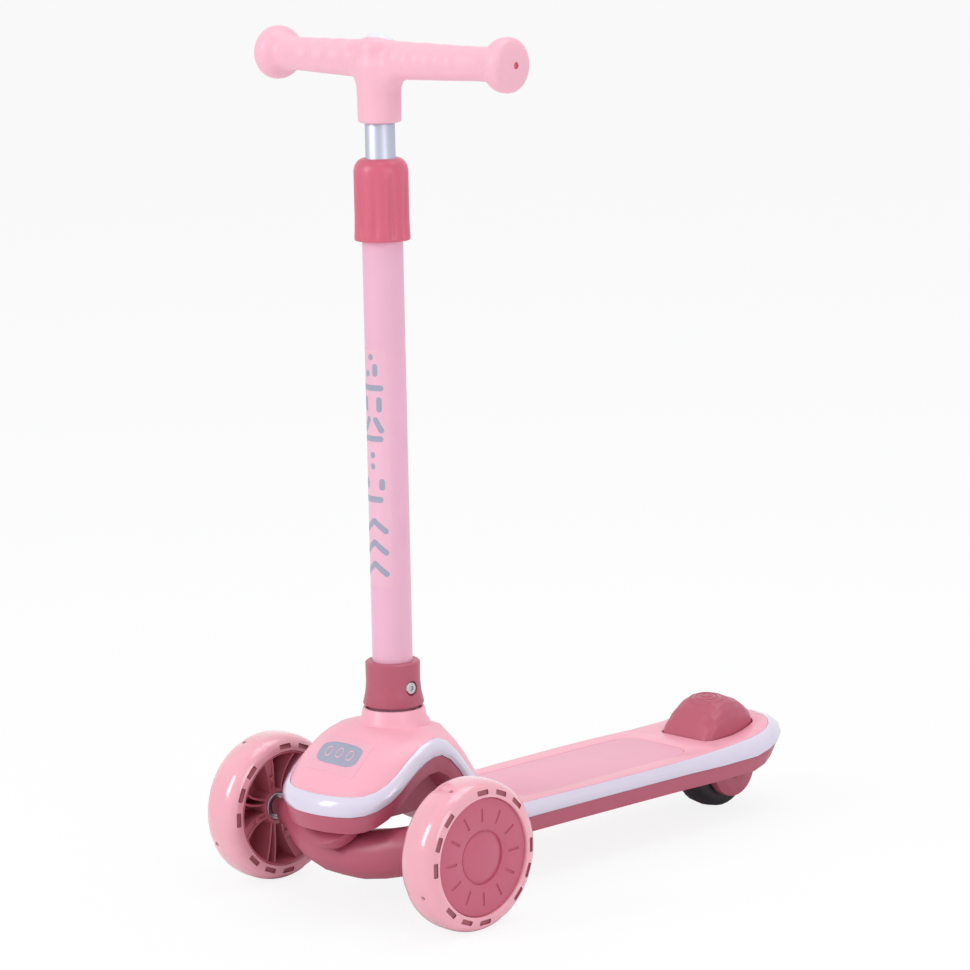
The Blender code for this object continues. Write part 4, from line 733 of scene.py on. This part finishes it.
def wheel_point(radius, turn, out):
    """A place on the left wheel, from its centre: turn is counted from the rear, outwards is +X."""
    return WHEEL + Vector((out, radius * math.cos(turn), radius * math.sin(turn)))


def wheel_frame(radius, turn, out, lean=0.0):
    """Local X along the wheel's rim, Y along its radius and Z out of its side, leant outwards by lean."""
    radial = Vector((0, math.cos(turn), math.sin(turn)))
    around = Vector((0, -math.sin(turn), math.cos(turn)))
    normal = (X * math.cos(lean) + radial * math.sin(lean)).normalized()
    place = Matrix((around, normal.cross(around), normal)).transposed().to_4x4()
    place.translation = wheel_point(radius, turn, out)
    return place


def tyre_side(turn):
    """One point of the tyre's section: nearly flat sides under a round tread."""
    half = WHEEL_HALF - 0.05 * MM
    out = half * math.copysign(abs(math.cos(turn)) ** 0.72, math.cos(turn))
    return out, LIP_R + 1.2 * MM + (WHEEL_R - LIP_R - 1.2 * MM) * max(0.0, math.sin(turn)) ** 0.80


def cast_tyre():
    half = WHEEL_HALF - 0.05 * MM
    section = [tyre_side(math.pi * i / 26) for i in range(27)]
    lip = [
        (half - 0.15 * MM, LIP_R + 0.5 * MM), (half - 0.7 * MM, LIP_R), (half - 3.4 * MM, LIP_R - 0.3 * MM),
    ]
    profile = list(reversed(lip)) + section + [(-h, r) for h, r in lip]
    tyre = spun("cast_tyre_left", profile, WHEEL, axis=X, side=Z, steps=256, closed=True)
    tyre.data.materials.append(CAST_PU)
    for vertex in tyre.data.vertices:
        flat = Vector((vertex.co.y - WHEEL.y, vertex.co.z - WHEEL.z))
        turn = math.atan2(flat.y, flat.x)
        for spot in LAMP_SPOTS:
            off = math.remainder(turn - math.tau * spot / SPOTS, math.tau) * WHEEL_R
            near_tread = min(1.0, max(0.0, (flat.length - LIP_R) / (6 * MM)))
            dent = 0.55 * MM * math.exp(-((off / (3.4 * MM)) ** 2)) * near_tread
            vertex.co.y -= flat.x / flat.length * dent
            vertex.co.z -= flat.y / flat.length * dent
    cutters = []
    for spot in range(SPOTS):
        turn = math.tau * spot / SPOTS
        if spot in LAMP_SPOTS:
            continue
        for side in (1, -1):
            place = wheel_frame(WINDOW_R, turn, side * 17.4 * MM, lean=0.20 if side > 0 else -0.20)
            cutters.append(block("window", (11.5 * MM, 4.0 * MM, 2.6 * MM), place, bevel=0.7 * MM))
    windows = merged(cutters, "tyre_windows")
    # The window pockets' faces take the dark pink of painted shade.
    windows.data.materials.clear()
    windows.data.materials.append(WINDOW_SHADE_PU)
    cut(tyre, windows)
    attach(tyre, "front_wheel_left")
    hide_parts("front_tyre_left")
    return smooth(tyre, 40)


def tyre_lamps():
    """A small lamp button under the tread in each of the four gaps between windows."""
    lamps = []
    for spot in LAMP_SPOTS:
        turn = math.tau * spot / SPOTS
        axis = Vector((0, math.cos(turn), math.sin(turn)))
        base = WHEEL + X * 6.0 * MM
        reach = WHEEL_R - 0.95 * MM
        profile = [
            (reach - 1.0 * MM, 0.0), (reach + 0.35 * MM, 0.0), (reach + 0.35 * MM, 0.5 * MM),
            (reach, 0.6 * MM),
            (reach, 1.1 * MM), (reach + 0.4 * MM, 1.2 * MM), (reach + 0.35 * MM, 1.7 * MM),
            (reach - 1.0 * MM, 1.9 * MM),
        ]
        lamps.append(spun(f"lamp_{spot}", profile, base, axis=axis, side=X, steps=24))
    lamps = merged(lamps, "tyre_lamps_left")
    return dressed(smooth(lamps), LAMP_PC, "front_wheel_left", "clear_pink")


def wheel_cap():
    """The flat outer disc with a domed middle, a crisp groove round it, and twelve ticks."""
    face, crest, groove = 15.9 * MM, 17.9 * MM, 14.1 * MM
    profile = [
        (crest, 0.0), (crest - 0.15 * MM, 4 * MM), (crest - 0.5 * MM, 8 * MM), (crest - 1.05 * MM, 12 * MM),
        (crest - 1.8 * MM, 15.5 * MM), (crest - 2.7 * MM, 18.3 * MM), (crest - 3.3 * MM, 19.8 * MM),
        (groove, 20.1 * MM),
        (groove, 21.0 * MM), (face - 0.3 * MM, 21.6 * MM), (face, 22.2 * MM), (face + 0.2 * MM, 34 * MM),
        (face, 45.2 * MM), (face - 0.25 * MM, 46.0 * MM), (face - 1.0 * MM, 46.4 * MM),
        (13.95 * MM, 46.4 * MM),
        (13.95 * MM, 0.0),
    ]
    cap = spun("wheel_cap_left", profile, WHEEL, axis=X, side=Z, steps=128)
    ticks = []
    for tick in range(TICKS):
        place = wheel_frame(33.2 * MM, math.tau * tick / TICKS, face + 0.5 * MM)
        ticks.append(block("tick", (2.3 * MM, 11.4 * MM, 3.2 * MM), place, bevel=1.0 * MM, segments=3))
    cut(cap, merged(ticks, "cap_ticks"))
    return dressed(smooth(cap, 35), CAP_ABS, "front_wheel_left", "rose", "hub_cap_left")


def rib_course(share, offset, bend):
    """How far a rib lies beside its pair's middle line, from the hub, 0, to the rim, 1."""
    return offset * (0.55 + 0.75 * share) + bend * math.sin(math.pi * share * 0.85)


def rib(number, turn, offset, bend):
    """One thin curved rib from the hub to the rim, deeper at the rim."""
    bpy.ops.object.select_all(action="DESELECT")
    bpy.ops.mesh.primitive_grid_add(x_subdivisions=12, y_subdivisions=3, size=1.0)
    blade = added(f"rib_{number}")
    for vertex in blade.data.vertices:
        share, deep = vertex.co.x + 0.5, vertex.co.y + 0.5
        radius = (RIB_INNER + RIB_LENGTH * share) * MM
        sideways = rib_course(share, offset, bend)
        front = (-6.5 - 8.0 * share ** 1.6) * MM
        out = front + (12.2 * MM - front) * deep
        vertex.co = wheel_point(radius, turn + sideways / radius, out)
    return with_modifier(blade, "SOLIDIFY", thickness=1.7 * MM, offset=0.0)


def web(number, turn, bend):
    """The floor between the two ribs of every second pair, with a lamp set in it."""
    bpy.ops.object.select_all(action="DESELECT")
    bpy.ops.mesh.primitive_grid_add(x_subdivisions=12, y_subdivisions=4, size=1.0)
    sheet = added(f"web_{number}")
    for vertex in sheet.data.vertices:
        share, across = vertex.co.x + 0.5, vertex.co.y * 2
        radius = (RIB_INNER + RIB_LENGTH * share) * MM
        sideways = rib_course(share, across * RIB_ASIDE * MM, bend)
        vertex.co = wheel_point(radius, turn + sideways / radius, (-4.6 - 8.0 * share ** 1.6) * MM)
    return with_modifier(sheet, "SOLIDIFY", thickness=1.6 * MM, offset=0.0)


def wheel_core():
    """Rim, hub and eight pairs of curved ribs, moulded in one."""
    profile = [
        (-17.2 * MM, 46.5 * MM), (-17.6 * MM, 46.2 * MM), (-17.6 * MM, 45.8 * MM), (-16.8 * MM, 45.2 * MM),
        (10.6 * MM, 43.8 * MM),
        (11.7 * MM, 42.6 * MM), (11.9 * MM, 40 * MM), (11.9 * MM, 17 * MM), (11.0 * MM, 15.4 * MM),
        (-6.2 * MM, 14.8 * MM),
        (-7.1 * MM, 14.2 * MM), (-7.1 * MM, 11.9 * MM), (-6.5 * MM, 11.3 * MM), (13.9 * MM, 11.3 * MM),
        (13.9 * MM, 46.5 * MM),
    ]
    parts = [spun("rim", profile, WHEEL, axis=X, side=Z, steps=96, closed=True)]
    for pair in range(RIB_PAIRS):
        turn = math.tau * (pair + 0.5) / RIB_PAIRS
        bend = (2.6 if pair % 2 else -2.6) * MM
        for offset in (-RIB_ASIDE * MM, RIB_ASIDE * MM):
            parts.append(rib(len(parts), turn, offset, bend))
        if pair % 2 == 0:
            parts.append(web(len(parts), turn, bend))
            place = wheel_frame(25 * MM, turn + bend * 0.85 / (25 * MM), -8.2 * MM)
            parts.append(block("lamp_pod", (3.6 * MM, 5.2 * MM, 1.6 * MM), place, bevel=0.4 * MM))
    core = merged(parts, "wheel_core_left")
    return dressed(smooth(core, 35), CORE_PC, "front_wheel_left", "rose_core", "front_core_left")


def wheel_bearing():
    """The steel ball race that shows inside the hub."""
    profile = [
        (-6.6 * MM, 4.3 * MM), (-6.8 * MM, 4.6 * MM), (-6.8 * MM, 6.2 * MM), (-6.2 * MM, 6.5 * MM),
        (-6.2 * MM, 8.7 * MM),
        (-6.8 * MM, 9.0 * MM), (-6.8 * MM, 10.7 * MM), (-6.5 * MM, 11.0 * MM), (0.0, 11.0 * MM),
        (0.0, 4.3 * MM),
    ]
    race = spun("ball_race_left", profile, WHEEL, axis=X, side=Z, steps=64, closed=True)
    return dressed(smooth(race, 35), ZINC, "front_wheel_left", "steel", "front_bearing_inner_left")


def mirrored(piece, name, node=None):
    """The same piece on the right wheel."""
    other = copied(piece, Matrix.Diagonal((-1, 1, 1, 1)), name)
    only(other)
    bpy.ops.object.mode_set(mode="EDIT")
    bpy.ops.mesh.select_all(action="SELECT")
    bpy.ops.mesh.flip_normals()
    bpy.ops.object.mode_set(mode="OBJECT")
    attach(other, "front_wheel_right")
    if node:
        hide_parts(node)


def front_wheels():
    mirrored(cast_tyre(), "cast_tyre_right", "front_tyre_right")
    mirrored(tyre_lamps(), "tyre_lamps_right")
    mirrored(wheel_cap(), "wheel_cap_right", "hub_cap_right")
    mirrored(wheel_core(), "wheel_core_right", "front_core_right")
    mirrored(wheel_bearing(), "ball_race_right", "front_bearing_inner_right")


front_wheels()

# The finish of each colour slot, for the CAD nodes that keep their own shape.
INSIDE = {
    "lilac": PEARL_PC, "pink": PINK_ABS, "pink_soft": PAD_ABS, "rose": ROSE_ABS, "grey": GREY_INK,
    "steel": ZINC, "black": BLACK_TYRE, "black_core": BLACK_NYLON, "stem_pink": STEM_PAINT,
    "clamp_rose": CLAMP_ABS, "white": WHITE_ABS, "aluminium": ALUMINIUM, "clear_pink": CAST_PU,
    "rose_core": CORE_PC, "circuit": CIRCUIT,
}


def dress_cad_nodes():
    """Every CAD node that stays gets the finish of its slot."""
    for node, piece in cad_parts.items():
        worn = piece.active_material.name if piece.active_material else ""
        slots = [key for key in INSIDE if worn.startswith(key)]
        key = max(slots, key=len) if slots else "steel"
        piece.data.materials.clear()
        piece.data.materials.append(INSIDE[key])


dress_cad_nodes()


# ---- floor, light and camera -------------------------------------------------------------------
FLOOR_GLOW = 0.86          # how much of the floor's look is its own white
ROOM_LIGHT = 0.62


def floor_finish():
    """White paper, lit from below for the camera alone, so that it stays white and keeps a faint shadow."""
    made = bpy.data.materials.new("paper_floor")
    made.use_nodes = True
    tree = made.node_tree
    paper = tree.nodes["Principled BSDF"]
    paper.inputs["Base Color"].default_value = colour("FAFAFC")
    paper.inputs["Roughness"].default_value = 0.9
    glow = add(tree, "ShaderNodeEmission", in_Color=(1, 1, 1, 1), in_Strength=1.0)
    rays = add(tree, "ShaderNodeLightPath")
    share = add(tree, "ShaderNodeMath", [(0, rays.outputs["Is Camera Ray"])], operation="MULTIPLY")
    share.inputs[1].default_value = FLOOR_GLOW
    both = add(
        tree, "ShaderNodeMixShader", [(0, share.outputs[0]), (1, paper.outputs[0]), (2, glow.outputs[0])],
    )
    tree.links.new(both.outputs[0], tree.nodes["Material Output"].inputs["Surface"])
    return made


def studio_world():
    """Plain soft light all round, and white wherever the camera or a reflection looks past the object."""
    world = bpy.data.worlds.new("studio")
    bpy.context.scene.world = world
    world.use_nodes = True
    tree = world.node_tree
    room = tree.nodes["Background"]
    room.inputs["Color"].default_value = (1, 1, 1, 1)
    room.inputs["Strength"].default_value = ROOM_LIGHT
    white = add(tree, "ShaderNodeBackground", in_Color=(1, 1, 1, 1), in_Strength=1.0)
    rays = add(tree, "ShaderNodeLightPath")
    seen = rays.outputs["Is Camera Ray"]
    for kind in ("Is Glossy Ray", "Is Transmission Ray"):
        either = add(tree, "ShaderNodeMath", [(0, seen), (1, rays.outputs[kind])], operation="MAXIMUM")
        seen = either.outputs[0]
    both = add(tree, "ShaderNodeMixShader", [(0, seen), (1, room.outputs[0]), (2, white.outputs[0])])
    tree.links.new(both.outputs[0], tree.nodes["World Output"].inputs["Surface"])


def softbox(name, place, target, size, power):
    bpy.ops.object.light_add(type="AREA", location=place)
    lamp = added(name)
    lamp.data.shape = "RECTANGLE"
    lamp.data.size, lamp.data.size_y = size
    lamp.data.energy = power
    lamp.rotation_euler = (Vector(place) - Vector(target)).to_track_quat("Z", "Y").to_euler()
    return lamp


def studio():
    bpy.ops.mesh.primitive_plane_add(size=30.0, location=(0, 0, 0))
    floor = added("floor")
    floor.data.materials.append(floor_finish())
    studio_world()
    centre = (0.0, 0.0, 0.3)
    softbox("key_box", (-0.9, -2.8, 1.7), centre, (0.9, 1.6), 30)
    softbox("side_box", (2.8, -0.6, 1.3), centre, (1.0, 1.6), 13)
    softbox("top_box", (0.4, 0.4, 3.0), centre, (2.0, 2.0), 26)


EYE = (2.3082, -2.3255, 0.8997)
AZIMUTH, ELEVATION, ROLL = 45.55, 10.23, -1.13      # degrees
LENS = 152.3                                        # millimetres, on a 36 mm sensor


def camera():
    """The camera stands about 3.3 m away, a little above the handlebar, and turned by its own roll."""
    azimuth, elevation, roll = math.radians(AZIMUTH), math.radians(ELEVATION), math.radians(ROLL)
    right = Vector((math.cos(azimuth), math.sin(azimuth), 0))
    level = Vector((math.sin(azimuth), -math.cos(azimuth), 0))
    back = level * math.cos(elevation) + Z * math.sin(elevation)
    up = back.cross(right)
    across = right * math.cos(roll) + up * math.sin(roll)
    upright = up * math.cos(roll) - right * math.sin(roll)
    bpy.ops.object.camera_add()
    eye = added("camera")
    facing = Matrix((across, upright, back)).transposed().to_4x4()
    eye.matrix_world = Matrix.Translation(EYE) @ facing
    eye.data.lens = LENS
    eye.data.sensor_width = 36.0
    bpy.context.scene.camera = eye


studio()
camera()
bpy.context.scene.view_settings.view_transform = "Standard"
